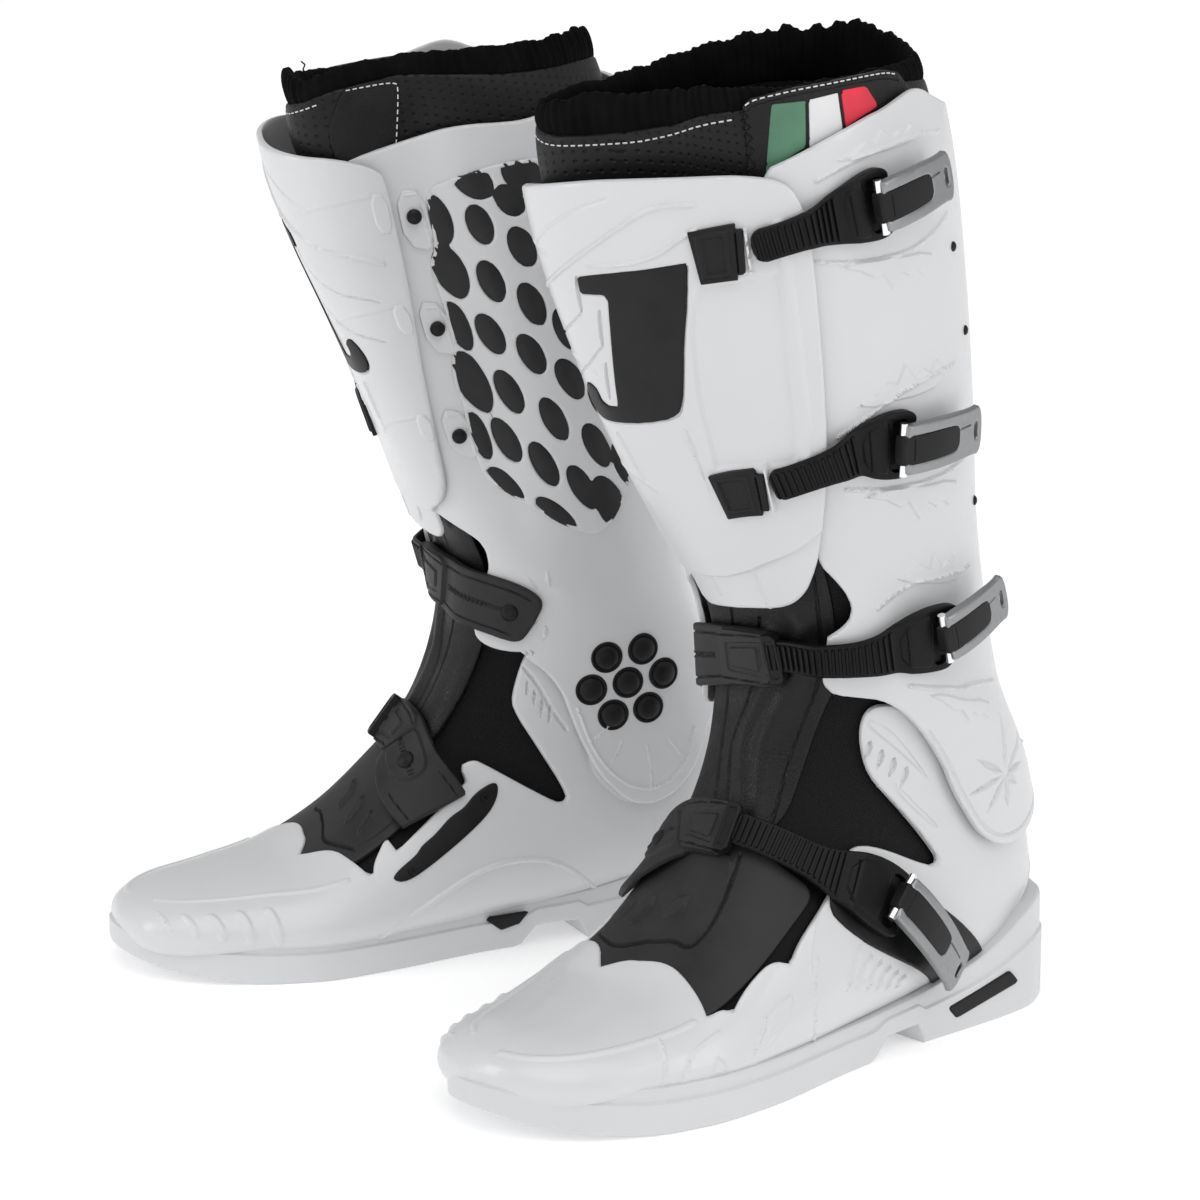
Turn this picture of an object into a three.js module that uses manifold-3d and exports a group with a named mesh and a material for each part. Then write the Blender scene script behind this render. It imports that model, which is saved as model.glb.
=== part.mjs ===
// A pair of motocross riding boots, in millimetres, +Z up. Toes point along -Y and the soles rest on Z = 0.
// Both boots come from one builder: the right boot is the left boot mirrored, then placed a little further forward.
//
// The boot's outer form is one smooth surface. A point on it has a row, from 0 at the toe tip over the
// instep and up the shaft to 18 above the collar, and an angle in degrees: 0 is the front (the top of the foot),
// 90 the outer side, 180 the back (the underside of the foot) and -90 the inner side.
// Plates, straps and pads are skins: patches of that surface between two distances from it.

import * as THREE from 'three';
import { mergeVertices } from 'three/addons/utils/BufferGeometryUtils.js';
import Module from 'manifold-3d';

const wasm = await Module();
wasm.setup();

// ---- driving dimensions -------------------------------------------------------------------------------------

const BOOT_TURN = 9; // degrees that each toe is turned outwards
const LEFT_BOOT = { x: 102.1, y: 42.2 }; // where each boot's own origin stands on the floor
const RIGHT_BOOT = { x: -102.1, y: 18.2 };

const WALL = 3; // thickness of the hard shells
const GAP = 0.5; // clearance from the form surface to the first layer
const SOLE_CLEARANCE = 1;
const SHAFT_STAND_OFF = 5.5; // how far the shaft's lobes stand off, to pass outside the foot shell
const ARCH = { from: -7, to: 24.5, height: 9, run: 9 }; // the hollow under the arch, before the heel block
const PAD = { y: 42, z: 123.5, reach: 19, pitch: 16.2, turn: 8, dome: 6.4 }; // the inner ankle pad and its domes
// Flat plates on the outer side: an outline of y, z corners between two values of x.
const HEEL_INSERT = { outline: [[40, 13.5], [46, 6.5], [85, 14.5], [76, 22]], from: 46.6, to: 49.2 };
const BUCKLE_BASE = { outline: [[18, 44], [31, 25.5], [62, 32.5], [47, 52]], from: 54.3, to: 55.4 };
const TOE_SPRING = { start: -120, reach: 76, rise: 14 };
const PROW = { deg: -32, inner: 34, outer: 50, x: -11.6, y: -17.4, from: 10.4, to: 13.2 }; // the shin's inner corner
const SWAY = { half: 80, x: -7.5, y: 4.5, from: 4, full: 6.5, fade: 9.5, to: 12 }; // the front of the ankle, towards the inner side
const ANKLE = { y: 54, z: 115, radius: 6 }; // the cross axis that the shaft turns on

// Each row: front line y, z; back line y, z; half width; centre x; boxiness (1 is an ellipse); egg shape.
const ROWS = [
  [-182, 24, -182, 22, 1.5, -1, 0.95, 0],
  [-177, 30, -177, 15, 23, 0.5, 0.85, 0.05],
  [-160, 34, -162, 12, 38, 2, 0.8, 0.08],
  [-132, 37.5, -134, 12, 47, 2.5, 0.77, 0.12],
  [-104, 44, -100, 12, 54, 2, 0.75, 0.16],
  [-80, 61, -55, 13, 53, 3, 0.78, 0.2],
  [-60, 86, -5, 14, 50, 3, 0.82, 0.22],
  [-45, 108, 50, 15, 46, 2, 0.84, 0.2],
  [-36, 130, 100, 17, 44, 1, 0.86, 0.12],
  [-31, 152, 121, 38, 44, 0, 0.88, 0.06],
  [-30, 176, 118, 68, 46, 0, 0.88, 0.04],
  [-36, 205, 104, 110, 48, 0, 0.88, 0.04],
  [-50, 245, 88, 158, 51, 0, 0.9, 0.05],
  [-66, 290, 76, 210, 55, 0, 0.92, 0.05],
  [-82, 330, 70, 265, 59, 0, 0.92, 0.05],
  [-92, 362, 63, 320, 61, 0, 0.92, 0.05],
  [-98, 392, 55, 370, 61, 0, 0.92, 0.05],
  [-102, 412, 47, 404, 59, 0, 0.92, 0.05],
  [-104, 428, 42, 430, 57, 0, 0.92, 0.05],
];

// The sole's outline from the toe to the heel: y, inner edge x, outer edge x, height of the side's top edge.
const SOLE = [
  [-186, -2, 8, 26.5],
  [-183, -15, 22, 26.5],
  [-172, -28, 35, 25],
  [-157, -39, 46, 22],
  [-132, -49, 58, 20],
  [-104, -56, 64, 20],
  [-70, -52, 63, 20],
  [-30, -44, 56, 20],
  [-6, -42, 53, 20],
  [2, -42, 52, 20],
  [24, -42, 50, 22],
  [25, -42, 50, 22.2],
  [60, -44, 50, 29],
  [78, -44, 49.5, 36],
  [98, -44, 47.5, 46],
  [115, -36, 38, 48],
  [126, -18, 20, 49],
  [129, -7, 7, 49],
];

const TOE_ROWS = [0, 0.6, 1.2, 2, 3, 3.9];

// Where the foot shell's opening ends on each side, by row.
const FOOT_EDGE = [
  // row, outer side, inner side
  [4.4, 70, -34],
  [4.75, 67, -68],
  [5.2, 66, -62],
  [5.6, 75, -62],
  [6.1, 71, -62],
  [6.6, 70, -60],
  [7.1, 66, -60],
  [7.45, 68, -88],
  [7.8, 74, -72],
  [8.15, 89, -58],
  [8.55, 66, -52],
  [9.1, 57, -52],
  [9.7, 57, -58],
  [10.3, 66, -66],
  [10.9, 84, -84],
];

// The four buckles. Each strap runs from its root to its head, and the lever from its pins to its tail.
const BUCKLES = [
  {
    receiver: [[23.6, 14.57], [40, 14.73], 11.5],
    strap: [[42, 14.78, 7], [52, 14.95, 6.8], [62, 15.13, 7.6], [70, 15.25, 10.5], [80, 15.42, 14], [88, 15.55, 14.5]],
    base: 8.9,
    onPlate: true,
    landing: { from: 60, to: 70, base: 5 },
    lever: [[82, 15.46], [107, 15.86]],
  },
  {
    receiver: [[7.5, 12.0], [30, 12.2], 10.5],
    strap: [[32.5, 12.27, 7], [42, 12.42, 6.8], [56, 12.68, 7.2], [66, 12.9, 9.5], [77, 13.1, 14], [88, 13.28, 14.5]],
    base: 8.9,
    onPlate: true,
    landing: { from: 60, to: 70, base: 5 },
    lever: [[82, 13.18], [114, 13.68]],
  },
  {
    receiver: [[0, 9.72], [19, 9.9], 12],
    strap: [[22, 10.02, 7], [36, 10.3, 7.2], [54, 10.68, 7.8], [66, 10.98, 10], [78, 11.28, 14], [90, 11.55, 14.5]],
    base: 12.6,
    landing: { from: 60, to: 70, base: 9.5 },
    lever: [[85.5, 11.5], [115.5, 12.26]],
  },
  {
    receiver: [[-2, 6.5], [15, 6.56], 12],
    strap: [[18, 6.6, 7], [34, 6.68, 7.2], [56, 6.78, 8], [66, 6.87, 11], [78, 7.02, 15], [92, 7.12, 15]],
    base: 8.6,
    landing: { from: 20, to: 40, base: 6 },
    lever: [[85, 7.12], [122, 7.1]],
  },
];
const STRAP_THICKNESS = 2.6;
const HEAD_THICKNESS = 4.4;
const LEVER = { width: 21, thickness: 5.5, clearance: 0.8, pin: 1.6 };

// ---- materials ----------------------------------------------------------------------------------------------

const white = new THREE.MeshStandardMaterial({ color: 0xe4e6e8, roughness: 0.25, metalness: 0 });
const black = new THREE.MeshStandardMaterial({ color: 0x1c1c1e, roughness: 0.5, metalness: 0 });
const rubber = new THREE.MeshStandardMaterial({ color: 0x2b2b2d, roughness: 0.7, metalness: 0 });
const leather = new THREE.MeshStandardMaterial({ color: 0x19191a, roughness: 0.8, metalness: 0 });
const fabric = new THREE.MeshStandardMaterial({ color: 0x262626, roughness: 0.9, metalness: 0 });
const aluminium = new THREE.MeshStandardMaterial({ color: 0xa9adb2, roughness: 0.3, metalness: 1 });

// ---- the form surface ---------------------------------------------------------------------------------------

/** A value that runs smoothly through the rows of a table, with its ends held. */
function smoothRow(table, row) {
  const last = table.length - 1;
  const i = Math.min(Math.max(Math.floor(row), 0), last - 1);
  const f = row - i;
  const pick = (k) => table[Math.min(Math.max(k, 0), last)];
  const [a, b, c, d] = [pick(i - 1), pick(i), pick(i + 1), pick(i + 2)];
  return b.map((_, k) => {
    const bend = (2 * a[k] - 5 * b[k] + 4 * c[k] - d[k]) * f * f;
    const twist = (-a[k] + 3 * b[k] - 3 * c[k] + d[k]) * f * f * f;
    return 0.5 * (2 * b[k] + (c[k] - a[k]) * f + bend + twist);
  });
}

/** How much of the shin's inner corner stands out at a row and an angle, from 0 to 1. */
function prow(row, deg) {
  const turn = ((((deg - PROW.deg + 180) % 360) + 360) % 360) - 180;
  const share = Math.min(Math.abs(turn) / (turn > 0 ? PROW.outer : PROW.inner), 1);
  return ramp(PROW.from, PROW.to, row) * Math.cos((share * Math.PI) / 2) ** 2;
}

/** How far the front of the ankle leans towards the inner side at a row and an angle, from 0 to 1. */
function sway(row, deg) {
  const turn = Math.min(Math.abs(((((deg + 180) % 360) + 360) % 360) - 180) / SWAY.half, 1);
  const along = ramp(SWAY.from, SWAY.full, row) - ramp(SWAY.fade, SWAY.to, row);
  return along * Math.cos((turn * Math.PI) / 2) ** 2;
}

/** The form surface itself, at a row and an angle in degrees. */
function form(row, deg) {
  const [frontY, frontZ, backY, backZ, width, centre, boxy, egg] = smoothRow(ROWS, row);
  const angle = THREE.MathUtils.degToRad(deg);
  const power = (v) => Math.sign(v) * Math.abs(v) ** boxy;
  const along = -power(Math.cos(angle));
  const across = power(Math.sin(angle));
  const share = prow(row, deg);
  const lean = sway(row, deg);
  return new THREE.Vector3(
    centre + width * across * (1 + egg * along) + PROW.x * share + SWAY.x * lean,
    (frontY + backY) / 2 + ((backY - frontY) / 2) * along + PROW.y * share + SWAY.y * lean,
    (frontZ + backZ) / 2 + ((backZ - frontZ) / 2) * along,
  );
}

/** The outward direction of the form surface. */
function outward(row, deg) {
  const step = 0.02;
  const r = Math.max(row, step);
  const alongRow = form(r + step, deg).sub(form(r - step, deg));
  const alongDeg = form(r, deg + 1).sub(form(r, deg - 1));
  return alongDeg.cross(alongRow).normalize();
}

/** A point at a distance outside the form surface. */
function at(row, deg, distance) {
  return form(row, deg).addScaledVector(outward(row, deg), distance);
}

/** The [deg, row] of a point given by y and z in the side plane, on the outer side (+1) or the inner side (-1). */
function sidePlace(y, z, side) {
  const miss = (row) => {
    const [frontY, frontZ, backY, backZ] = smoothRow(ROWS, row);
    return (backY - frontY) * (z - frontZ) - (backZ - frontZ) * (y - frontY);
  };
  let [low, high] = [2, 17.5];
  for (let i = 0; i < 40; i += 1) {
    const middle = (low + high) / 2;
    if (miss(middle) > 0) low = middle;
    else high = middle;
  }
  const [frontY, frontZ, backY, backZ, , , boxy] = smoothRow(ROWS, low);
  const [runY, runZ] = [backY - frontY, backZ - frontZ];
  const share = ((y - frontY) * runY + (z - frontZ) * runZ) / (runY ** 2 + runZ ** 2);
  const forward = 1 - 2 * share;
  const angle = Math.acos(Math.sign(forward) * Math.abs(forward) ** (1 / boxy));
  return [side * THREE.MathUtils.radToDeg(angle), low];
}

/** A ramp from 0 to 1 between two values, with a soft start and end. */
function ramp(from, to, value) {
  return THREE.MathUtils.smoothstep(value, from, to);
}

/** A polyline of [deg, row, ...] points, sampled at a share from 0 to 1 of its steps. */
function along(line, share) {
  const place = share * (line.length - 1);
  const i = Math.min(Math.floor(place), line.length - 2);
  return line[i].map((v, k) => v + (line[i + 1][k] - v) * (place - i));
}

// ---- solids -------------------------------------------------------------------------------------------------

/** An indexed geometry from points and triangles. */
function solid(points, triangles) {
  const geometry = new THREE.BufferGeometry();
  geometry.setAttribute('position', new THREE.Float32BufferAttribute(points.flatMap((p) => p.toArray()), 3));
  geometry.setIndex(triangles.flat());
  return geometry;
}

/**
 * A patch of the form surface as a closed solid. grid is an array of lines of [deg, row] points, with null where
 * there is no material. inner and outer are distances, or functions of deg and row. Points that meet are welded,
 * and every free edge gets a wall.
 */
function skin(grid, inner, outer) {
  const reach = (d, deg, row) => (typeof d === 'function' ? d(deg, row) : d);
  const index = new Map();
  const points = [];
  const ids = grid.map((line) =>
    line.map((place) => {
      if (!place) return null;
      const [deg, row] = place;
      const turn = ((deg % 360) + 360) % 360;
      const key = row < 0.01 ? 'tip' : `${turn.toFixed(2)},${row.toFixed(3)}`;
      if (!index.has(key)) {
        index.set(key, index.size);
        points.push([at(row, deg, reach(outer, turn, row)), at(row, deg, reach(inner, turn, row))]);
      }
      return index.get(key);
    }),
  );
  const faces = [];
  for (let j = 0; j + 1 < ids.length; j += 1) {
    for (let i = 0; i + 1 < ids[j].length; i += 1) {
      const [a, b, c, d] = [ids[j][i], ids[j][i + 1], ids[j + 1][i + 1], ids[j + 1][i]];
      if ([a, b, c, d].includes(null)) continue;
      for (const t of [[a, b, c], [a, c, d]]) {
        if (new Set(t).size === 3) faces.push(t);
      }
    }
  }
  const edges = new Set(faces.flatMap(([a, b, c]) => [`${a},${b}`, `${b},${c}`, `${c},${a}`]));
  const outerId = (i) => 2 * i;
  const innerId = (i) => 2 * i + 1;
  const triangles = [];
  for (const [a, b, c] of faces) {
    triangles.push([outerId(a), outerId(b), outerId(c)], [innerId(a), innerId(c), innerId(b)]);
  }
  for (const edge of edges) {
    const [a, b] = edge.split(',').map(Number);
    if (edges.has(`${b},${a}`)) continue;
    triangles.push([outerId(b), outerId(a), innerId(a)], [outerId(b), innerId(a), innerId(b)]);
  }
  return solid(points.flat(), triangles);
}

/** A four-sided patch between two edges, each a list of [deg, row] points, as a grid for skin. */
function between(lower, upper, columns, lines) {
  const grid = [];
  for (let j = 0; j <= lines; j += 1) {
    const line = [];
    for (let i = 0; i <= columns; i += 1) {
      const low = along(lower, i / columns);
      const high = along(upper, i / columns);
      line.push([low[0] + ((high[0] - low[0]) * j) / lines, low[1] + ((high[1] - low[1]) * j) / lines]);
    }
    grid.push(line);
  }
  return grid;
}

/** A band along a centre line of [deg, row, half width in mm] points, as a grid for skin. */
function band(line, columns, lines = 1) {
  const edge = (side) =>
    Array.from({ length: columns + 1 }, (_, i) => {
      const [deg, row, half] = along(line, i / columns);
      const before = along(line, Math.max(i / columns - 0.01, 0));
      const after = along(line, Math.min(i / columns + 0.01, 1));
      const run = form(after[1], after[0]).sub(form(before[1], before[0])).normalize();
      const sideways = outward(row, deg).cross(run);
      const perDeg = form(row, deg + 1).sub(form(row, deg - 1)).divideScalar(2);
      const perRow = form(row + 0.1, deg).sub(form(row - 0.1, deg)).divideScalar(0.2);
      return stepBy(perDeg, perRow, sideways.multiplyScalar(side * half), [deg, row]);
    });
  return between(edge(-1), edge(1), columns, lines);
}

/** The [deg, row] reached from a place on the surface by a small move, given the moves of one degree and one row. */
function stepBy(perDeg, perRow, move, [deg, row]) {
  const [dd, dr, rr] = [perDeg.dot(perDeg), perDeg.dot(perRow), perRow.dot(perRow)];
  const [md, mr] = [move.dot(perDeg), move.dot(perRow)];
  const det = dd * rr - dr * dr;
  return [deg + (md * rr - mr * dr) / det, row + (mr * dd - md * dr) / det];
}

/** A solid through rings of points that are joined in turn, closed at both ends. */
function loft(rings) {
  const n = rings[0].length;
  const triangles = [];
  for (let j = 0; j + 1 < rings.length; j += 1) {
    for (let i = 0; i < n; i += 1) {
      const k = (i + 1) % n;
      const [a, b, c, d] = [j * n + i, j * n + k, (j + 1) * n + k, (j + 1) * n + i];
      triangles.push([a, b, c], [a, c, d]);
    }
  }
  const end = (rings.length - 1) * n;
  for (let i = 1; i + 1 < n; i += 1) {
    triangles.push([0, i + 1, i], [end, end + i, end + i + 1]);
  }
  return solid(rings.flat(), triangles);
}

/** A manifold-3d solid made from a geometry. */
function toManifold(geometry) {
  const bare = geometry.clone();
  bare.deleteAttribute('normal');
  bare.deleteAttribute('uv');
  const merged = mergeVertices(bare, 1e-4);
  return new wasm.Manifold(
    new wasm.Mesh({
      numProp: 3,
      vertProperties: new Float32Array(merged.attributes.position.array),
      triVerts: new Uint32Array(merged.index.array),
    }),
  );
}

/** A geometry made from a manifold-3d solid. */
function toGeometry(manifold) {
  const { vertProperties, triVerts } = manifold.getMesh();
  const geometry = new THREE.BufferGeometry();
  geometry.setAttribute('position', new THREE.BufferAttribute(vertProperties, 3));
  geometry.setIndex(new THREE.BufferAttribute(triVerts, 1));
  return geometry;
}

/** A geometry with others cut away from it. */
function cut(geometry, ...tools) {
  return toGeometry(tools.reduce((body, tool) => body.subtract(toManifold(tool)), toManifold(geometry)));
}

/** A geometry joined with others. */
function join(geometry, ...more) {
  return toGeometry(more.reduce((body, other) => body.add(toManifold(other)), toManifold(geometry)));
}

/** A cylinder along X, from one x to another, about the ankle axis. */
function ankleCylinder(from, to, radius) {
  const geometry = new THREE.CylinderGeometry(radius, radius, to - from, 16);
  geometry.rotateZ(Math.PI / 2);
  geometry.translate((from + to) / 2, ANKLE.y, ANKLE.z);
  return geometry;
}

/** The turned frame at a place on the surface, with x towards another place, z outwards and y across. */
function turned([deg, row], [toDeg, toRow], distance) {
  const origin = at(row, deg, distance);
  const x = at(toRow, toDeg, distance).sub(origin).normalize();
  const z = outward((row + toRow) / 2, (deg + toDeg) / 2);
  z.addScaledVector(x, -z.dot(x)).normalize();
  return new THREE.Matrix4().makeBasis(x, z.clone().cross(x), z).setPosition(origin);
}

// ---- the foot -----------------------------------------------------------------------------------------------

/** How far the sole's underside rises from the floor towards the toe. */
function springRise(y) {
  const share = Math.max(TOE_SPRING.start - y, 0) / TOE_SPRING.reach;
  return TOE_SPRING.rise * share ** 2;
}

/** How far the sole's underside rises under the arch. */
function archRise(y) {
  const inside = y > ARCH.from && y < ARCH.to;
  return inside ? ARCH.height * ramp(ARCH.from, ARCH.from + ARCH.run, y) : 0;
}

/** Everything within a distance of the form surface, up to the ankle, to cut neighbours with. */
function footSpace(distance) {
  const rows = [...TOE_ROWS.slice(1), ...FOOT_EDGE.map(([row]) => row), 12];
  const ring = (row) => Array.from({ length: 24 }, (_, i) => at(row, i * 15, distance));
  const tip = form(0, 0).add(new THREE.Vector3(0, -distance, 0));
  const nose = ring(TOE_ROWS[1]).map((p) => p.lerp(tip, 0.9).setY(tip.y));
  return loft([nose, ...rows.map(ring)]);
}

/** The outsole with its side wall and tall heel block, hollowed to take the foot shell. */
function outsole() {
  const rings = SOLE.map(([y, inside, outside, top]) => {
    const low = Math.max(springRise(y), archRise(y));
    return [
      new THREE.Vector3(inside, y, low),
      new THREE.Vector3(outside, y, low),
      new THREE.Vector3(outside, y, top),
      new THREE.Vector3(inside, y, top),
    ];
  });
  const pocket = sidePlate({ ...HEEL_INSERT, from: HEEL_INSERT.from - 0.4, to: 60 });
  pocket.translate(0, -62.5, -14.4).scale(1, 1.02, 1.06).translate(0, 62.5, 14.4);
  return cut(loft(rings.reverse()), footSpace(GAP + WALL + SOLE_CLEARANCE), pocket);
}

/** The hard foot shell: a toe cap all round, then two sides and a heel, open over the instep and under the foot. */
function footShell() {
  const columns = 24;
  const grid = [];
  for (const row of TOE_ROWS) {
    grid.push(Array.from({ length: columns + 1 }, (_, i) => [(360 * i) / columns, row]));
  }
  const first = 4;
  const last = columns - 3;
  for (const [row, outerEdge, innerEdge] of FOOT_EDGE) {
    grid.push(
      Array.from({ length: columns + 1 }, (_, i) => {
        if (i < first || i > last) return null;
        return [outerEdge + ((360 + innerEdge - outerEdge) * (i - first)) / (last - first), row];
      }),
    );
  }
  return cut(skin(grid, GAP, GAP + WALL), ankleCylinder(-90, 90, ANKLE.radius + 0.4));
}

/** A plate with an outline of [y, z] points in the boot's side plane, from one x to another. */
function sidePlate({ outline, from, to }) {
  const shape = new THREE.Shape(outline.map(([y, z]) => new THREE.Vector2(y, z)));
  const geometry = new THREE.ExtrudeGeometry(shape, { depth: to - from, bevelEnabled: false });
  return geometry.rotateY(Math.PI / 2).rotateX(Math.PI / 2).translate(from, 0, 0);
}

/** The ribbed guard over the toe joint. */
function instepGuard() {
  const lower = [[-24, 4.5], [0, 4.45], [30, 4.45], [62, 4.3]];
  const upper = [[-40, 6.2], [0, 6.2], [30, 6.2], [64, 6.2]];
  return skin(between(lower, upper, 8, 4), GAP, 3.2);
}

/** The rubber band over the instep, from the inner side to the lowest strap's clip. */
function instepBand() {
  const centre = [[-58, 5.95, 17], [-46, 6, 16], [-30, 6.1, 14], [-16, 6.35, 12], [-4, 6.5, 11]];
  return skin(band(centre, 6), 6.3, 8.3);
}

/** A pin of the ankle joint on the outer side (+1), where it has a cap, or the inner side (-1), where it is flush. */
function anklePivot(side) {
  const [deg, row] = sidePlace(ANKLE.y, ANKLE.z, side);
  const start = Math.abs(at(row, deg, GAP).x);
  const face = Math.abs(at(row, deg, shaftLift(deg, row) + WALL).x);
  const cap = [[ANKLE.radius, face + 1.4], [11, face + 1.6], [8, face + 3.2], [0, face + 3.8]];
  const flush = [[ANKLE.radius, face - 0.6], [0, face - 0.6]];
  const profile = [[0, start], [ANKLE.radius, start], ...(side > 0 ? cap : flush)];
  const geometry = new THREE.LatheGeometry(profile.map(([r, h]) => new THREE.Vector2(r, h)), 16);
  geometry.rotateZ((side * -Math.PI) / 2);
  return geometry.translate(0, ANKLE.y, ANKLE.z);
}

// ---- the soft inside ----------------------------------------------------------------------------------------

/** The sock-like lining, closed at the toe and open at the top. */
function innerBootie() {
  const rows = [0, 0.8, 2, 4, 5, 6, 7, 8, 9, 10, 11, 12, 13, 14.5, 15.5];
  const grid = rows.map((row) => Array.from({ length: 17 }, (_, i) => [(360 * i) / 16, row]));
  return skin(grid, -5.4, -2.2);
}

/** The leather tongue over the instep, between the shells. */
function tongue() {
  const lower = [[-26, 6.95], [0, 6.95], [20, 6.95], [34, 7.1]];
  const upper = [[-34, 11.6], [0, 11.6], [20, 11.6], [36, 11.6]];
  return skin(between(lower, upper, 6, 10), GAP, 3.6);
}

/** The padded collar above the shells, open at the top for the leg. */
function collar() {
  const edges = [
    // degrees, lower row, upper row
    [0, 15.75, 16.45],
    [50, 15.9, 16.75],
    [70, 16.25, 16.95],
    [100, 17.02, 17.32],
    [120, 17.12, 17.38],
    [180, 17.12, 17.38],
    [240, 17, 17.34],
    [270, 16.15, 17.2],
    [300, 15.8, 17.05],
    [330, 15.72, 16.65],
    [360, 15.75, 16.45],
  ];
  const lower = edges.map(([deg, row]) => [deg, row]);
  const upper = edges.map(([deg, , row]) => [deg, row]);
  const lift = (deg) => 7 * prow(16, deg) - 6.5;
  return skin(between(lower, upper, 20, 2), lift, (deg, row) => lift(deg) + 4.1 - 2 * ramp(16.9, 17.5, row));
}

// ---- the shaft ----------------------------------------------------------------------------------------------

/** How far the shaft's inside stands off the form: it flares out below the ankle, over the foot shell. */
function shaftLift(deg, row) {
  return GAP + SHAFT_STAND_OFF * (1 - ramp(10.7, 11.7, row));
}

/** The hard shaft shell, wrapped round the back, with a lobe down each side over the ankle. */
function shaftShell() {
  const edges = [
    // lower edge, fold line at the ankle, top edge
    [[40, 9.85], [42, 10.7], [50, 15.55]],
    [[50, 9.95], [58, 10.9], [58, 15.75]],
    [[62, 10.18], [70, 11], [66, 15.95]],
    [[74, 10.08], [82, 11], [74, 16.15]],
    [[84, 9.68], [91, 11], [82, 16.4]],
    [[91, 9.2], [99, 11], [90, 16.6]],
    [[98, 9.02], [107, 11], [98, 16.82]],
    [[106, 9.15], [116, 11], [106, 16.95]],
    [[116, 9.7], [126, 11], [116, 17]],
    [[134, 10.5], [140, 11.2], [136, 17]],
    [[158, 10.95], [160, 11.5], [160, 17]],
    [[180, 11.05], [180, 11.6], [180, 17]],
    [[202, 10.95], [200, 11.5], [200, 17]],
    [[228, 10.4], [222, 11.2], [222, 16.95]],
    [[246, 9.5], [236, 11], [240, 16.7]],
    [[256, 8.75], [246, 10.8], [252, 16.3]],
    [[264, 8.15], [254, 10.6], [262, 16.05]],
    [[270, 8.05], [261, 10.5], [270, 15.98]],
    [[277, 8.3], [268, 10.5], [277, 15.95]],
    [[284, 8.75], [276, 10.5], [283, 15.9]],
    [[293, 9.2], [285, 10.5], [289, 15.8]],
    [[301, 9.45], [294, 10.5], [295, 15.68]],
    [[308, 9.45], [302, 10.5], [301, 15.55]],
    [[316, 9.2], [309, 10.4], [306, 15.5]],
    [[325, 9.02], [317, 10.15], [310, 15.4]],
    [[331, 9.05], [326, 9.9], [314, 15.3]],
  ];
  const [lower, fold, upper] = [0, 1, 2].map((k) => edges.map((edge) => edge[k]));
  const waist = [
    [55, 11.3], [66, 11.4], [76, 11.4],
    ...fold.slice(3, -3).map(([deg, row]) => [deg, row + 0.45]),
    [296, 11.05], [304, 11.05], [314, 11.02],
  ];
  const columns = lower.length - 1;
  const grid = [...between(lower, fold, columns, 3), ...between(waist, upper, columns, 7)];
  const shell = skin(grid, shaftLift, (deg, row) => shaftLift(deg, row) + WALL);
  return cut(shell, ankleCylinder(-90, 90, ANKLE.radius + 0.5));
}

/** The rubber grip panel on the inner side of the shaft. */
function gripPad() {
  const lower = [[246, 12.7], [255, 12.4], [266, 11.9], [305, 11.9]];
  const upper = [[256, 15.5], [268, 15.5], [284, 15.25], [298.5, 14.95]];
  return skin(between(lower, upper, 6, 6), GAP + WALL + 1.2, GAP + WALL + 2.7);
}

/** The shin plate's hinge: a strip on the shaft with three rivets through it. */
function hingeStrip() {
  const lower = [[307, 12.05], [316.5, 12.05]];
  const upper = [[300, 14.97], [309, 14.9]];
  const strip = skin(between(lower, upper, 1, 6), GAP + WALL + 1.2, GAP + WALL + 3.1);
  const rivets = [[313.5, 12.25], [308.5, 13.35], [305.3, 14.63]].map(([deg, row]) => {
    const centre = at(row, deg, GAP + WALL + 4.4);
    return new THREE.SphereGeometry(3, 8, 6).translate(centre.x, centre.y, centre.z);
  });
  return join(strip, ...rivets);
}

/** The rubber band round the front of the ankle, stepping down to the clip of the third strap. */
function ankleBand() {
  const centre = [[-55, 9.9, 12], [-46, 9.95, 14], [-34, 9.8, 13.5], [-20, 9.7, 12.5], [-4, 9.68, 12]];
  const step = (deg) => ramp(332, 346, deg < 180 ? deg + 360 : deg);
  return skin(band(centre, 7), (deg) => 9.7 - 3 * step(deg), (deg) => 12.2 - 2.6 * step(deg));
}

/** The inner ankle pad: seven domes on one backing. */
function anklePad() {
  const lift = (deg, row) => shaftLift(deg, row) + WALL + 1.6;
  const corner = (y, z) => sidePlace(PAD.y + y * PAD.reach, PAD.z + z * PAD.reach, -1);
  const grid = between([corner(1, -1), corner(-1, -1)], [corner(1, 1), corner(-1, 1)], 3, 3);
  const backing = skin(grid, lift, (deg, row) => lift(deg, row) + 1);
  const ring = Array.from({ length: 6 }, (_, i) => {
    const angle = THREE.MathUtils.degToRad(PAD.turn + i * 60);
    return [PAD.pitch * Math.cos(angle), PAD.pitch * Math.sin(angle)];
  });
  const domes = [[0, 0], ...ring].map(([y, z]) => {
    const [deg, row] = sidePlace(PAD.y + y, PAD.z + z, -1);
    const centre = at(row, deg, lift(deg, row) + 0.8);
    return new THREE.SphereGeometry(PAD.dome, 8, 4).scale(0.35, 1, 1).translate(centre.x, centre.y, centre.z);
  });
  return join(backing, ...domes);
}

// ---- the shin plate -----------------------------------------------------------------------------------------

/** How far the shin plate's underside stands off: it bulges forward towards the top, inside of the middle. */
function plateLift(deg, row) {
  const turn = Math.abs((deg > 180 ? deg - 360 : deg) + 8) * 1.9;
  const middle = Math.cos(THREE.MathUtils.degToRad(Math.min(turn, 90)));
  return GAP + WALL + 1.3 + 6 * middle * ramp(12, 15.4, row) + 1.2 * (1 - ramp(11, 11.8, row));
}

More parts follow.
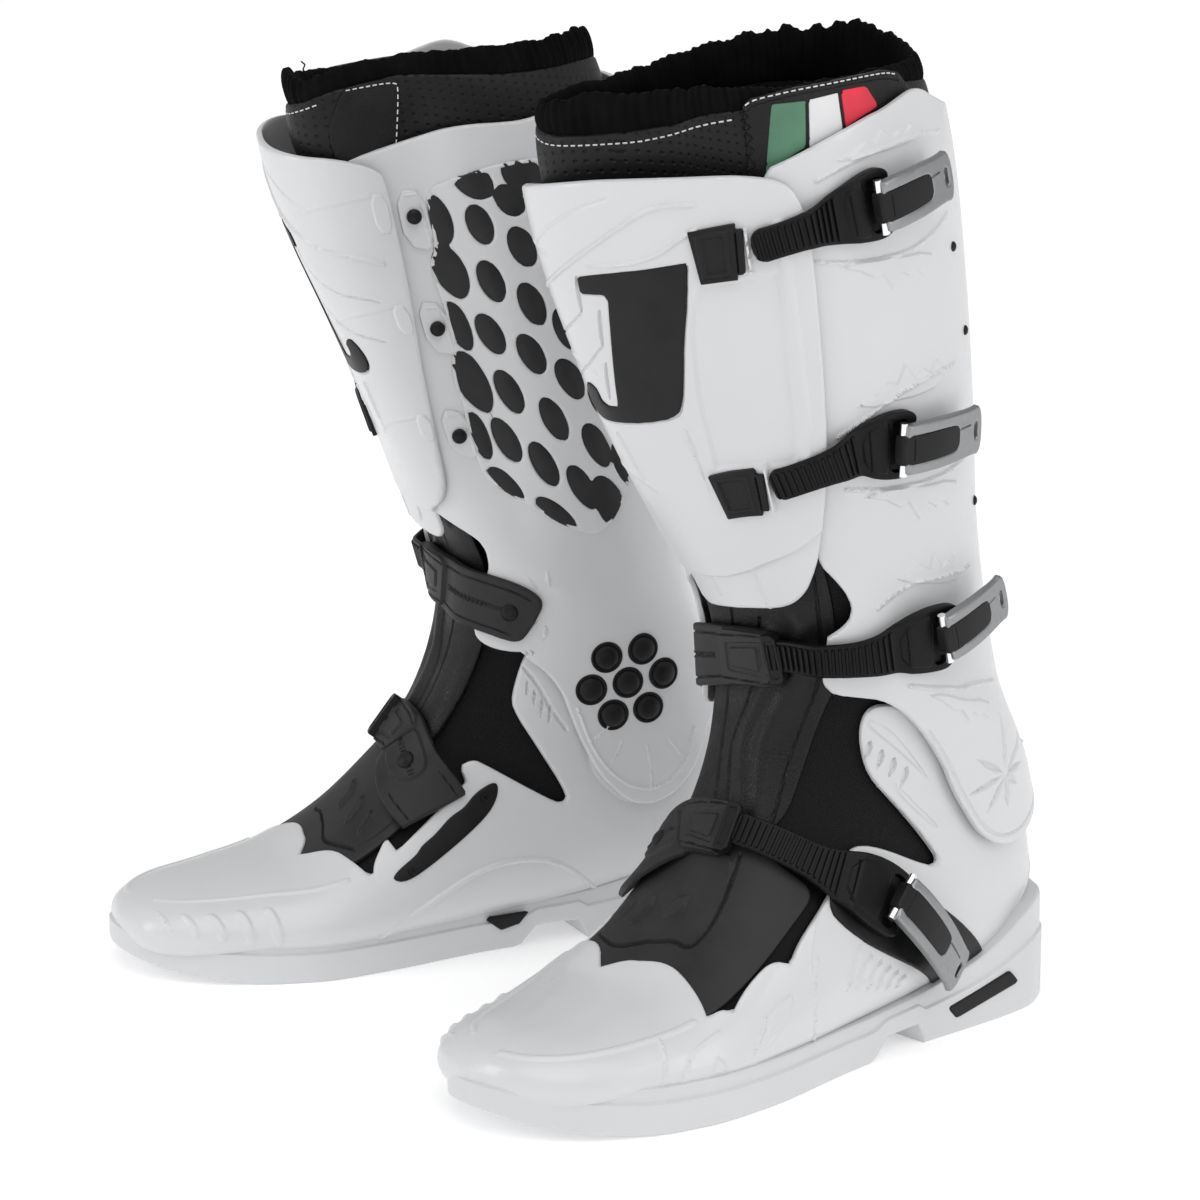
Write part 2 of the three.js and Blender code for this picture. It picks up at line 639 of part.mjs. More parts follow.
/** The hard plate over the shin, hinged on the inner side. */
function shinPlate() {
  const edges = [
    // lower edge, top edge
    [[-40, 12.05], [-49, 15.05]],
    [[-35, 11.5], [-40, 15.24]],
    [[-24, 11.18], [-28, 15.3]],
    [[-12, 10.66], [-14, 15.34]],
    [[0, 10.62], [0, 15.4]],
    [[12, 10.7], [13, 15.45]],
    [[24, 10.86], [27, 15.5]],
    [[34, 11.15], [40, 15.56]],
    [[42, 11.5], [51, 15.6]],
    [[49, 12], [59, 15.42]],
  ];
  const [lower, upper] = [0, 1].map((k) => edges.map((edge) => edge[k]));
  return skin(between(lower, upper, 9, 8), plateLift, (deg, row) => plateLift(deg, row) + WALL);
}

/** The moulded black insert on the shin plate. */
function shinInsert() {
  const lower = [[-30, 12.76], [-20, 12.7], [-8, 12.68], [3, 12.82]];
  const upper = [[-15, 14.18], [-8, 14.22], [2, 14.28], [20, 14.44]];
  const lift = (more) => (deg, row) => plateLift(deg, row) + WALL + more;
  return skin(between(lower, upper, 4, 4), lift(0.8), lift(2));
}

// ---- the buckles --------------------------------------------------------------------------------------------

/** The block that a strap passes into. */
function receiver({ receiver: [from, to, width], onPlate, base }) {
  const half = width / 2;
  const low = (deg, row) => (onPlate ? plateLift(deg, row) + WALL + 0.7 : base);
  return skin(band([[...from, half], [...to, half]], 2), low, (deg, row) => low(deg, row) + 2.4);
}

/** A ladder strap, from its root to the wide head that its lever is pinned to. */
function ladderStrap({ strap, base, landing }) {
  const headFrom = strap[3][0];
  const low = (deg) => base + (landing.base - base) * ramp(landing.from, landing.to, deg);
  const thickness = (deg) => STRAP_THICKNESS + (HEAD_THICKNESS - STRAP_THICKNESS) * ramp(headFrom, headFrom + 10, deg);
  return skin(band(strap, 10), low, (deg) => low(deg) + thickness(deg));
}

/** A lever in its own frame: its pins lie on the Y axis and it reaches along +X, bent to follow the shell. */
function leverSolid(length) {
  const { width, thickness } = LEVER;
  const bend = (x) => -0.0035 * x * (x - length * 0.9) - 0.0035 * length;
  const steps = 5;
  const lowLine = [];
  const highLine = [];
  for (let i = 0; i <= steps; i += 1) {
    const x = (length * i) / steps;
    lowLine.push(new THREE.Vector2(x, bend(x)));
    highLine.push(new THREE.Vector2(x, bend(x) + thickness * (1 - 0.35 * (i / steps))));
  }
  const shape = new THREE.Shape([...lowLine, ...highLine.reverse()]);
  const body = new THREE.ExtrudeGeometry(shape, { depth: width, bevelEnabled: false });
  body.rotateX(Math.PI / 2).translate(0, width / 2, 0);
  const pin = new THREE.CylinderGeometry(LEVER.pin, LEVER.pin, width + 3, 10);
  pin.translate(1.2, 0, 2);
  return join(body, pin);
}

// ---- assembly -----------------------------------------------------------------------------------------------

function named(name, geometry, material) {
  const mesh = new THREE.Mesh(geometry, material);
  mesh.name = name;
  return mesh;
}

/** The left boot, with a suffix for its node names. */
function boot(suffix) {
  const group = new THREE.Group();
  const add = (name, geometry, material) => group.add(named(`${name}_${suffix}`, geometry, material));
  add('outsole', outsole(), white);
  add('foot_shell', footShell(), white);
  add('heel_insert', sidePlate(HEEL_INSERT), black);
  add('instep_guard', instepGuard(), rubber);
  add('instep_band', instepBand(), rubber);
  add('buckle_base', sidePlate(BUCKLE_BASE), black);
  add('pivot_lateral', anklePivot(1), white);
  add('pivot_medial', anklePivot(-1), black);
  add('inner_bootie', innerBootie(), fabric);
  add('tongue', tongue(), leather);
  add('collar', collar(), leather);
  add('shaft_shell', shaftShell(), white);
  add('ankle_band', ankleBand(), rubber);
  add('ankle_pad', anklePad(), black);
  add('grip_pad', gripPad(), rubber);
  add('hinge_strip', hingeStrip(), white);
  add('shin_plate', shinPlate(), white);
  add('shin_insert', shinInsert(), black);
  BUCKLES.forEach((buckle, i) => {
    const [pins, tail] = buckle.lever;
    const height = buckle.landing.base + HEAD_THICKNESS + LEVER.clearance + 1.5;
    const frame = turned(pins, tail, height);
    const length = at(tail[1], tail[0], height).distanceTo(at(pins[1], pins[0], height));
    const lever = named(`lever_${i + 1}_${suffix}`, leverSolid(length), aluminium);
    lever.applyMatrix4(frame);
    group.add(lever);
    add(`receiver_${i + 1}`, receiver(buckle), black);
    add(`ladder_strap_${i + 1}`, ladderStrap(buckle), black);
  });
  return group;
}

const left = boot('l');
left.position.set(LEFT_BOOT.x, LEFT_BOOT.y, 0);
left.rotation.z = THREE.MathUtils.degToRad(BOOT_TURN);

const right = boot('r');
right.position.set(RIGHT_BOOT.x, RIGHT_BOOT.y, 0);
right.rotation.z = THREE.MathUtils.degToRad(-BOOT_TURN);
right.scale.x = -1;

const group = new THREE.Group();
group.add(left, right);

export default group;
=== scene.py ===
# A pair of motocross riding boots, in Blender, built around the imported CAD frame.
#
# Every piece is made once, for the left boot, in millimetres in that boot's own frame (toe towards -Y,
# outer side +X), and is then placed twice: as it is for the left boot, and mirrored for the right one.
#
# The boot's outer form is one smooth surface. A place on it is a (deg, row): row 0 is the toe tip, 9 the
# ankle and 18 above the collar; 0 degrees is the front or the top of the foot, 90 the outer side, 180 the
# back or the sole, and -90 (or 270) the inner side. Shells, bands and pads are patches of that surface at a
# distance from it.

import math

import bpy
import numpy as np
from mathutils import Matrix, Vector


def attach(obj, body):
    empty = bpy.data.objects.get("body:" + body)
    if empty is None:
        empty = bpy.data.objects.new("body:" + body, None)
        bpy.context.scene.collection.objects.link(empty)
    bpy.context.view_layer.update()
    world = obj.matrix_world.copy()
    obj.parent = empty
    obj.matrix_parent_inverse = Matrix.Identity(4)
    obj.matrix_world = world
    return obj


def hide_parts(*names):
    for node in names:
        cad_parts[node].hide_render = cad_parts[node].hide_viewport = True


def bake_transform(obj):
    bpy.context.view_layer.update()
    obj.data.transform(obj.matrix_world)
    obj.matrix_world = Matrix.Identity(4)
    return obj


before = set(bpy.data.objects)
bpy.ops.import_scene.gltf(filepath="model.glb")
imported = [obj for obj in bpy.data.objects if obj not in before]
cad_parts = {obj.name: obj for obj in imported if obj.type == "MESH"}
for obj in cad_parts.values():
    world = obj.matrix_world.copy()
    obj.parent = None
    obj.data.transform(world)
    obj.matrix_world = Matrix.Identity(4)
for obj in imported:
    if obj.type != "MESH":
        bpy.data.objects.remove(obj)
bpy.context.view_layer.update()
rng = np.random.default_rng(7)

# ---- driving dimensions, the same as the CAD model's, in millimetres -----------------------------

# How far each boot's toe is turned out, in degrees, and the x and y of each boot's own origin.
BOOT_TURN = 9.0
LEFT_BOOT = (102.1, 42.2)
RIGHT_BOOT = (-102.1, 18.2)
# The shells' thickness, the gap to the form under them, and how far the shaft stands off below the ankle.
WALL = 3.0
GAP = 0.5
SHAFT_STAND_OFF = 5.5
# The row where the foot shell ends, under the shaft.
FOOT_TOP = 10.9
# The y and z of the ankle's axis.
ANKLE = (54.0, 115.0)
# The shin's inner corner stands out of the form, over some rows and some degrees to each side.
PROW = {"deg": -32.0, "inner": 34.0, "outer": 50.0, "x": -11.6, "y": -17.4, "from": 10.4, "to": 13.2}
# The front of the ankle sways towards the inner side, over some rows and 80 degrees to each side.
SWAY = {"half": 80, "x": -7.5, "y": 4.5, "from": 4, "full": 6.5, "fade": 9.5, "to": 12}
MM = 0.001
# About how many millimetres a row and a degree of the form span.
ROW_SPAN = 30.0
DEGREE_SPAN = 1.1

# Each row: front line y, z; back line y, z; half width; centre x; boxiness (1 is an ellipse); egg shape.
ROWS = np.array([
    [-182, 24, -182, 22, 1.5, -1, 0.95, 0],
    [-177, 30, -177, 15, 23, 0.5, 0.85, 0.05],
    [-160, 34, -162, 12, 38, 2, 0.8, 0.08],
    [-132, 37.5, -134, 12, 47, 2.5, 0.77, 0.12],
    [-104, 44, -100, 12, 54, 2, 0.75, 0.16],
    [-80, 61, -55, 13, 53, 3, 0.78, 0.2],
    [-60, 86, -5, 14, 50, 3, 0.82, 0.22],
    [-45, 108, 50, 15, 46, 2, 0.84, 0.2],
    [-36, 130, 100, 17, 44, 1, 0.86, 0.12],
    [-31, 152, 121, 38, 44, 0, 0.88, 0.06],
    [-30, 176, 118, 68, 46, 0, 0.88, 0.04],
    [-36, 205, 104, 110, 48, 0, 0.88, 0.04],
    [-50, 245, 88, 158, 51, 0, 0.9, 0.05],
    [-66, 290, 76, 210, 55, 0, 0.92, 0.05],
    [-82, 330, 70, 265, 59, 0, 0.92, 0.05],
    [-92, 362, 63, 320, 61, 0, 0.92, 0.05],
    [-98, 392, 55, 370, 61, 0, 0.92, 0.05],
    [-102, 412, 47, 404, 59, 0, 0.92, 0.05],
    [-104, 428, 42, 430, 57, 0, 0.92, 0.05],
])

# The sole's outline from the toe to the heel: y, inner edge x, outer edge x, height of the side's top edge.
SOLE = np.array([
    [-186, -2, 8, 26.5],
    [-183, -15, 22, 26.5],
    [-172, -28, 35, 25],
    [-157, -39, 46, 22],
    [-132, -49, 58, 20],
    [-104, -56, 64, 20],
    [-70, -52, 63, 20],
    [-30, -44, 56, 20],
    [-6, -42, 53, 20],
    [24, -42, 50, 22],
    [60, -44, 50, 29],
    [78, -44, 49.5, 36],
    [98, -44, 47.5, 46],
    [115, -36, 38, 48],
    [126, -18, 20, 49],
    [129, -7, 7, 49],
])
# The toe's underside rises from this y, over this length, to this height. The arch lies between two y values,
# at a height.
TOE_SPRING = (-120.0, 76.0, 14.0)
ARCH = (-7.0, 24.5, 9.0)


# ---- the form surface ----------------------------------------------------------------------------

def smooth_row(table, row):
    """Values that run smoothly through the rows of a table, with its ends held."""
    last = len(table) - 1
    i = np.clip(np.floor(row).astype(int), 0, last - 1)
    f = (row - i)[..., None]
    a, b, c, d = (table[np.clip(i + k, 0, last)] for k in (-1, 0, 1, 2))
    bend = (2 * a - 5 * b + 4 * c - d) * f * f
    twist = (3 * b - a - 3 * c + d) * f * f * f
    return 0.5 * (2 * b + (c - a) * f + bend + twist)


def prow(row, deg):
    """How much of the shin's inner corner stands out at a row and an angle, from 0 to 1."""
    turn = (deg - PROW["deg"] + 180) % 360 - 180
    share = np.abs(turn) / np.where(turn > 0, PROW["outer"], PROW["inner"])
    return ramp(PROW["from"], PROW["to"], row) * np.cos(np.minimum(share, 1) * math.pi / 2) ** 2


def sway(row, deg):
    """How far the front of the ankle leans towards the inner side at a row and an angle, from 0 to 1."""
    turn = np.minimum(np.abs((deg + 180) % 360 - 180) / SWAY["half"], 1)
    along = ramp(SWAY["from"], SWAY["full"], row) - ramp(SWAY["fade"], SWAY["to"], row)
    return along * np.cos(turn * math.pi / 2) ** 2


def form(row, deg):
    """Points of the form surface for arrays of rows and degrees."""
    row, deg = np.broadcast_arrays(np.asarray(row, float), np.asarray(deg, float))
    front_y, front_z, back_y, back_z, width, centre, boxy, egg = np.moveaxis(smooth_row(ROWS, row), -1, 0)
    angle = np.radians(deg)
    forward = -np.sign(np.cos(angle)) * np.abs(np.cos(angle)) ** boxy
    across = np.sign(np.sin(angle)) * np.abs(np.sin(angle)) ** boxy
    x = centre + width * across * (1 + egg * forward)
    y = (front_y + back_y) / 2 + (back_y - front_y) / 2 * forward
    z = (front_z + back_z) / 2 + (back_z - front_z) / 2 * forward
    share, lean = prow(row, deg), sway(row, deg)
    x += PROW["x"] * share + SWAY["x"] * lean
    y += PROW["y"] * share + SWAY["y"] * lean
    return np.stack([x, y, z], -1)


def unit(v):
    return v / np.maximum(np.linalg.norm(v, axis=-1, keepdims=True), 1e-12)


def outward(row, deg):
    """The outward directions of the form surface."""
    step = 0.02
    r = np.maximum(row, step)
    along_row = form(r + step, deg) - form(r - step, deg)
    along_deg = form(r, deg + 1) - form(r, deg - 1)
    return unit(np.cross(along_deg, along_row))


def at(row, deg, distance):
    """Points at a distance outside the form surface."""
    row, deg = np.broadcast_arrays(np.asarray(row, float), np.asarray(deg, float))
    return form(row, deg) + outward(row, deg) * np.asarray(distance, float)[..., None]


def side_place(points, side):
    """The (deg, row) of y, z points in the side plane, on the outer side (+1) or the inner side (-1)."""
    y, z = np.asarray(points, float).T
    low, high = np.full(len(y), 2.0), np.full(len(y), 17.5)
    for _ in range(40):
        middle = (low + high) / 2
        front_y, front_z, back_y, back_z = smooth_row(ROWS, middle)[:, :4].T
        miss = (back_y - front_y) * (z - front_z) - (back_z - front_z) * (y - front_y)
        low, high = np.where(miss > 0, middle, low), np.where(miss > 0, high, middle)
    front_y, front_z, back_y, back_z, _, _, boxy, _ = smooth_row(ROWS, low).T
    run_y, run_z = back_y - front_y, back_z - front_z
    forward = 1 - 2 * ((y - front_y) * run_y + (z - front_z) * run_z) / (run_y ** 2 + run_z ** 2)
    deg = np.degrees(np.arccos(np.clip(np.sign(forward) * np.abs(forward) ** (1 / boxy), -1, 1)))
    return [(side * d, r) for d, r in zip(deg, low)]


def inner_place(points):
    """The same on the inner side, with its degrees counted on past 180."""
    return [(deg + 360, row) for deg, row in side_place(points, -1)]


def ramp(start, end, value):
    """A ramp from 0 to 1 between two values, with a soft start and end."""
    t = np.clip((np.asarray(value, float) - start) / (end - start), 0, 1)
    return t * t * (3 - 2 * t)


def shaft_lift(row):
    """How far the shaft's inside stands off the form: it flares out below the ankle, over the foot shell."""
    return GAP + SHAFT_STAND_OFF * (1 - ramp(10.7, 11.7, row))


def plate_lift(deg, row):
    """How far the shin plate's underside stands off: it bulges towards the top, inside of the middle."""
    turn = np.abs(np.where(deg > 180, deg - 360, deg) + 8) * 1.9
    middle = np.cos(np.radians(np.minimum(turn, 90)))
    return GAP + WALL + 1.3 + 6 * middle * ramp(12, 15.4, row) + 1.2 * (1 - ramp(11, 11.8, row))


# ---- outlines on the surface ---------------------------------------------------------------------

def rounded(points, times=2, closed=True):
    """An outline or line with its corners cut, so that it curves. A third value keeps a point sharp."""
    p = np.array([q[:2] for q in points for _ in range(len(q) - 1)], float)
    for _ in range(times):
        q = np.roll(p, -1, axis=0) if closed else p[1:]
        s = p if closed else p[:-1]
        cut = np.stack([0.75 * s + 0.25 * q, 0.25 * s + 0.75 * q], 1).reshape(-1, p.shape[1])
        p = cut if closed else np.vstack([p[:1], cut, p[-1:]])
    return p


def mirrored(half, middle=()):
    """A symmetric outline from the half on one side of its centre line, and any points on the line."""
    return [*half, *middle, *((u, -v) for u, v in reversed(half))]


def rectangle(left, right, low, high):
    return [(left, low), (right, low), (right, high), (left, high)]


def inside(points, outline):
    """Which (deg, row) points lie inside a closed outline."""
    x, y = points.T
    result = np.zeros(len(points), bool)
    for (ax, ay), (bx, by) in zip(outline, np.roll(outline, -1, axis=0)):
        crosses = (ay > y) != (by > y)
        if ay != by:
            result ^= crosses & (x < (bx - ax) * (y - ay) / (by - ay) + ax)
    return result


class Surface:
    """The form surface as a chart: its coordinates are degrees and rows."""

    reach = np.array([0.9, 1 / 18])  # the most degrees and rows that a millimetre spans
    spacing = np.array([DEGREE_SPAN, ROW_SPAN])

    def metric(self, points):
        return at(points[:, 1], points[:, 0], np.full(len(points), WALL))

    def place(self, points, distance):
        return at(points[:, 1], points[:, 0], distance)


class Strip:
    """A strip along a centre line of (deg, row) points. Its coordinates are millimetres along and across."""

    reach = np.array([1.0, 1.0])
    spacing = np.array([1.0, 1.0])

    def __init__(self, centre, height):
        line = rounded(centre, 3, closed=False)
        path = at(line[:, 1], line[:, 0], np.full(len(line), height))
        along = np.concatenate([[0], np.cumsum(np.linalg.norm(np.diff(path, axis=0), axis=1))])
        self.length = along[-1]
        samples = np.linspace(0, self.length, 60)
        self.samples = samples
        self.deg = np.interp(samples, along, line[:, 0])
        self.row = np.interp(samples, along, line[:, 1])
        path = np.stack([np.interp(samples, along, path[:, k]) for k in range(3)], 1)
        run = np.gradient(path, samples, axis=0)
        kernel = np.ones(7) / 7
        averaged = lambda v: np.convolve(np.pad(v, 3, "edge"), kernel, "valid")
        smooth = lambda v: np.stack([averaged(column) for column in v.T], 1)
        self.path = path
        self.run = unit(smooth(run))
        up = smooth(outward(self.row, self.deg))
        self.up = unit(up - self.run * np.sum(up * self.run, 1, keepdims=True))
        self.side = np.cross(self.up, self.run)

    def metric(self, points):
        return points

    def at_length(self, values, u):
        return np.stack([np.interp(u, self.samples, values[:, k]) for k in range(3)], 1)

    def place(self, points, distance):
        """Points at a distance above the centre line's height. Past the ends the strip runs on straight."""
        u, v = points.T
        base = self.at_length(self.path, u)
        run, side, up = (unit(self.at_length(a, u)) for a in (self.run, self.side, self.up))
        beyond = u - np.clip(u, 0, self.length)
        return base + run * beyond[:, None] + side * v[:, None] + up * np.asarray(distance, float)[..., None]


SURFACE = Surface()


def line_distance(chart, points, line, closed=False, reach=9.0):
    """How far a chart's points lie from a line, in millimetres; beyond reach it is only a bound."""
    line = np.asarray(line, float)
    ends = np.roll(line, -1, axis=0) if closed else line[1:]
    starts = line if closed else line[:-1]
    pieces = 4 if chart is SURFACE else 1
    parts = [s + (e - s) * np.linspace(0, 1, pieces + 1)[:, None] for s, e in zip(starts, ends)]
    a = np.vstack([p[:-1] for p in parts])
    b = np.vstack([p[1:] for p in parts])
    margin = reach * chart.reach
    near = np.all((points > line.min(0) - margin) & (points < line.max(0) + margin), axis=1)
    distance = np.full(len(points), reach)
    if not near.any():
        return distance
    chosen = np.flatnonzero(near)
    u, v = points[chosen].T
    p, pa, pb = chart.metric(points[chosen]), chart.metric(a), chart.metric(b)
    best = np.full(len(p), reach)
    for k, (s, e) in enumerate(zip(pa, pb)):
        low, high = np.minimum(a[k], b[k]) - margin, np.maximum(a[k], b[k]) + margin
        close = np.flatnonzero((u > low[0]) & (u < high[0]) & (v > low[1]) & (v < high[1]))
        if not len(close):
            continue
        run, q = e - s, p[close] - s
        t = np.clip(q @ run / max(run @ run, 1e-9), 0, 1)
        off = q - t[:, None] * run
        best[close] = np.minimum(best[close], np.sqrt(np.einsum("ij,ij->i", off, off)))
    distance[chosen] = best
    return distance


def outline_distance(chart, points, outline, reach=9.0):
    """The distance from a closed outline, positive inside it."""
    return np.where(inside(points, outline), 1, -1) * line_distance(chart, points, outline, True, reach)


# ---- meshes in a chart ---------------------------------------------------------------------------

# Values closer to zero than this count as zero, so that a cut leaves no slivers.
SNAP = 0.06


def lattice(chart, low, high, step):
    """A triangulated grid of a chart's points between two corners, about step millimetres apart."""
    columns, lines = np.maximum(((np.array(high) - low) * chart.spacing / step).astype(int), 2)
    u, v = np.meshgrid(np.linspace(low[0], high[0], columns + 1), np.linspace(low[1], high[1], lines + 1))
    points = np.stack([u.ravel(), v.ravel()], 1)
    index = np.arange(len(points)).reshape(lines + 1, columns + 1)
    a, b, c, e = index[:-1, :-1], index[:-1, 1:], index[1:, 1:], index[1:, :-1]
    even = (np.add.outer(np.arange(lines), np.arange(columns)) % 2 == 0)[..., None]
    first = np.where(even, np.stack([a, b, c], -1), np.stack([a, b, e], -1))
    second = np.where(even, np.stack([a, c, e], -1), np.stack([b, c, e], -1))
    return points, np.vstack([first.reshape(-1, 3), second.reshape(-1, 3)])


def split(points, tris, values):
    """Cuts the triangles along the line where the values pass zero. Returns points, triangles and values."""
    v = np.where(np.abs(values) < SNAP, 0.0, values)
    sign = np.sign(v)
    corner = sign[tris]
    crossed = (corner.min(1) < 0) & (corner.max(1) > 0)
    if not crossed.any():
        return points, tris, v
    cut, rest = tris[crossed], tris[~crossed]
    edges = np.sort(np.vstack([cut[:, [0, 1]], cut[:, [1, 2]], cut[:, [2, 0]]]), axis=1)
    edges = np.unique(edges[sign[edges[:, 0]] * sign[edges[:, 1]] < 0], axis=0)
    t = (v[edges[:, 0]] / (v[edges[:, 0]] - v[edges[:, 1]]))[:, None]
    fresh = points[edges[:, 0]] * (1 - t) + points[edges[:, 1]] * t
    key = {(i, j): len(points) + k for k, (i, j) in enumerate(edges.tolist())}
    made = []
    for a, b, c in cut.tolist():
        if sign[a] * sign[b] * sign[c] == 0:
            while sign[a] != 0:
                a, b, c = b, c, a
            m = key[min(b, c), max(b, c)]
            made += [(a, b, m), (a, m, c)]
            continue
        while sign[a] in (sign[b], sign[c]):
            a, b, c = b, c, a
        m, n = key[min(a, b), max(a, b)], key[min(a, c), max(a, c)]
        made += [(a, m, n), (m, b, c), (m, c, n)]
    return np.vstack([points, fresh]), np.vstack([rest, np.array(made)]), np.append(v, np.zeros(len(fresh)))


def halved(points, tris, near):
    """Cuts every edge of the chosen triangles in half, and the triangles beside them to match."""
    edges = np.sort(np.vstack([tris[near][:, pair] for pair in ([0, 1], [1, 2], [2, 0])]), axis=1)
    edges = np.unique(edges, axis=0)
    count = len(points)
    keys = edges[:, 0] * count + edges[:, 1]

    def middle(a, b):
        key = np.minimum(a, b) * count + np.maximum(a, b)
        place = np.minimum(np.searchsorted(keys, key), len(keys) - 1)
        return np.where(keys[place] == key, count + place, -1)

    a, b, c = tris.T
    ab, bc, ca = middle(a, b), middle(b, c), middle(c, a)
    cuts = (ab >= 0) * 1 + (bc >= 0) + (ca >= 0)
    made = [tris[cuts == 0]]
    chosen = cuts == 3
    for corners in ((a, ab, ca), (ab, b, bc), (ca, bc, c), (ab, bc, ca)):
        made.append(np.stack(corners, 1)[chosen])
    for _ in range(3):
        for chosen, parts in (((cuts == 1) & (ab >= 0), ((a, ab, c), (ab, b, c))),
                              ((cuts == 2) & (ca < 0), ((ab, b, bc), (a, ab, bc), (a, bc, c)))):
            made += [np.stack(corners, 1)[chosen] for corners in parts]
        a, b, c, ab, bc, ca = b, c, a, bc, ca, ab
    return np.vstack([points, (points[edges[:, 0]] + points[edges[:, 1]]) / 2]), np.vstack(made)


class Slab:
    """A patch of a chart with a thickness: a region, raised and sunk shapes, and a rounded rim."""

    def __init__(self, chart, low, high, step=2.0, detail=1.3):
        self.chart = chart
        self.detail = detail
        self.points, self.tris = lattice(chart, np.array(low, float), np.array(high, float), step)
        self.regions = []
        self.shapes = []

    def keep(self, outline, times=2, grow=1.0):
        """Keeps what lies inside an outline, or outside it when grow is -1."""
        outline = rounded(outline, times)
        self.keep_where(lambda p: grow * outline_distance(self.chart, p, outline))

    def keep_where(self, region):
        self.regions.append(region)
        self.points, self.tris, v = split(self.points, self.tris, region(self.points))
        self.tris = self.tris[v[self.tris].mean(1) > 0]
        used, flat = np.unique(self.tris, return_inverse=True)
        self.points, self.tris = self.points[used], flat.reshape(-1, 3)

    def shape(self, distance, height, slope):
        for level in (0.0, slope):
            self.refine(distance, level)
            self.points, self.tris, _ = split(self.points, self.tris, distance(self.points) - level)
        self.shapes.append((distance, height, slope))

    def refine(self, distance, level):
        """Halves the triangles near a line, twice at most, until they are small enough to follow it."""
        for _ in range(2):
            flat = self.chart.metric(self.points)
            ends = flat[self.tris]
            size = np.linalg.norm(ends - np.roll(ends, 1, axis=1), axis=2).max(1)
            far = np.abs(distance(self.points) - level)[self.tris].min(1)
            near = (far < 0.8 * size) & (size > self.detail)
            if near.any():
                self.points, self.tris = halved(self.points, self.tris, near)

    def panel(self, outline, height, slope=1.2, times=2):
        """Raises, or with a negative height sinks, what lies inside an outline."""
        outline = rounded(outline, times)
        self.shape(lambda p: outline_distance(self.chart, p, outline, slope + 5), height, slope)

    def line(self, points, height, width=2.4, times=2):
        """A raised or sunk line."""
        points = rounded(points, times, closed=False)
        half = width / 2
        reach = half + 5
        self.shape(lambda p: half - line_distance(self.chart, p, points, False, reach), height, 0.8 * half)

    def relief(self):
        total = np.zeros(len(self.points))
        for distance, height, slope in self.shapes:
            total += height * ramp(0, slope, distance(self.points))
        return total

    def solid(self, low, high, lip=1.0, wrap=False, lip_low=0.0):
        """The closed solid between two distances, each a number or a function of the points."""
        reach = lambda d, p: d(p) if callable(d) else np.full(len(p), float(d))
        edge = lambda p: np.min([r(p) for r in self.regions], axis=0)
        if self.regions and lip:
            for share in (0.3, 1.0):
                self.points, self.tris, _ = split(self.points, self.tris, edge(self.points) - share * lip)
        if wrap:
            tip = self.points[:, 1] < 0.01
            keys = np.round(np.stack([np.where(tip, 0, self.points[:, 0] % 360), self.points[:, 1]], 1), 3)
            _, first, same = np.unique(keys, axis=0, return_index=True, return_inverse=True)
            self.points, self.tris = self.points[first], same.ravel()[self.tris]
        p = self.points
        top, bottom = reach(high, p) + self.relief(), reach(low, p)
        if self.regions and lip:
            s = np.clip(edge(p), 0, lip)
            fall = 1 - np.sqrt(np.maximum(1 - (1 - s / lip) ** 2, 0))
            top = top - lip * fall
            bottom = bottom + lip_low * fall
        outer, inner = self.chart.place(p, top), self.chart.place(p, bottom)
        t = self.tris[(self.tris[:, 0] != self.tris[:, 1]) & (self.tris[:, 1] != self.tris[:, 2])]
        t = t[t[:, 2] != t[:, 0]]
        a, b, c = outer[t[:, 0]], outer[t[:, 1]], outer[t[:, 2]]
        facing = np.sum(np.cross(b - a, c - a) * (a - inner[t[:, 0]]), 1)
        if facing.sum() < 0:
            t = t[:, ::-1]
        edges = np.vstack([t[:, [0, 1]], t[:, [1, 2]], t[:, [2, 0]]])
        known = set(map(tuple, edges.tolist()))
        free = np.array([(i, j) for i, j in known if (j, i) not in known]).reshape(-1, 2)
        n = len(p)
        i, j = free.T if len(free) else (np.zeros(0, int), np.zeros(0, int))
        walls = np.vstack([np.stack([j, i, i + n], 1), np.stack([j, i + n, j + n], 1)])
        faces = np.vstack([t, t[:, ::-1] + n, walls]) if len(free) else np.vstack([t, t[:, ::-1] + n])
        uv = p * self.chart.spacing / 10
        return Solid(np.vstack([outer, inner]), faces, np.vstack([uv, uv]))


class Solid:
    """Points in millimetres, triangles and a map."""

    def __init__(self, points, faces, uv=None):
        self.points, self.faces = points, faces
        self.uv = np.zeros((len(points), 2)) if uv is None else uv


def joined(*solids):
    """Several solids as one piece."""
    points, faces, uvs, count = [], [], [], 0
    for s in solids:
        points.append(s.points)
        faces.append(s.faces + count)
        uvs.append(s.uv)
        count += len(s.points)
    return Solid(np.vstack(points), np.vstack(faces), np.vstack(uvs))


# ---- placing pieces ------------------------------------------------------------------------------

def boot_matrix(side):
    """The left boot's place (+1), or the right one's with its mirroring (-1)."""
    x, y = LEFT_BOOT if side > 0 else RIGHT_BOOT
    turn = Matrix.Rotation(math.radians(BOOT_TURN * side), 4, "Z")
    return np.array(Matrix.Translation((x, y, 0)) @ turn @ Matrix.Diagonal((side, 1, 1, 1)))


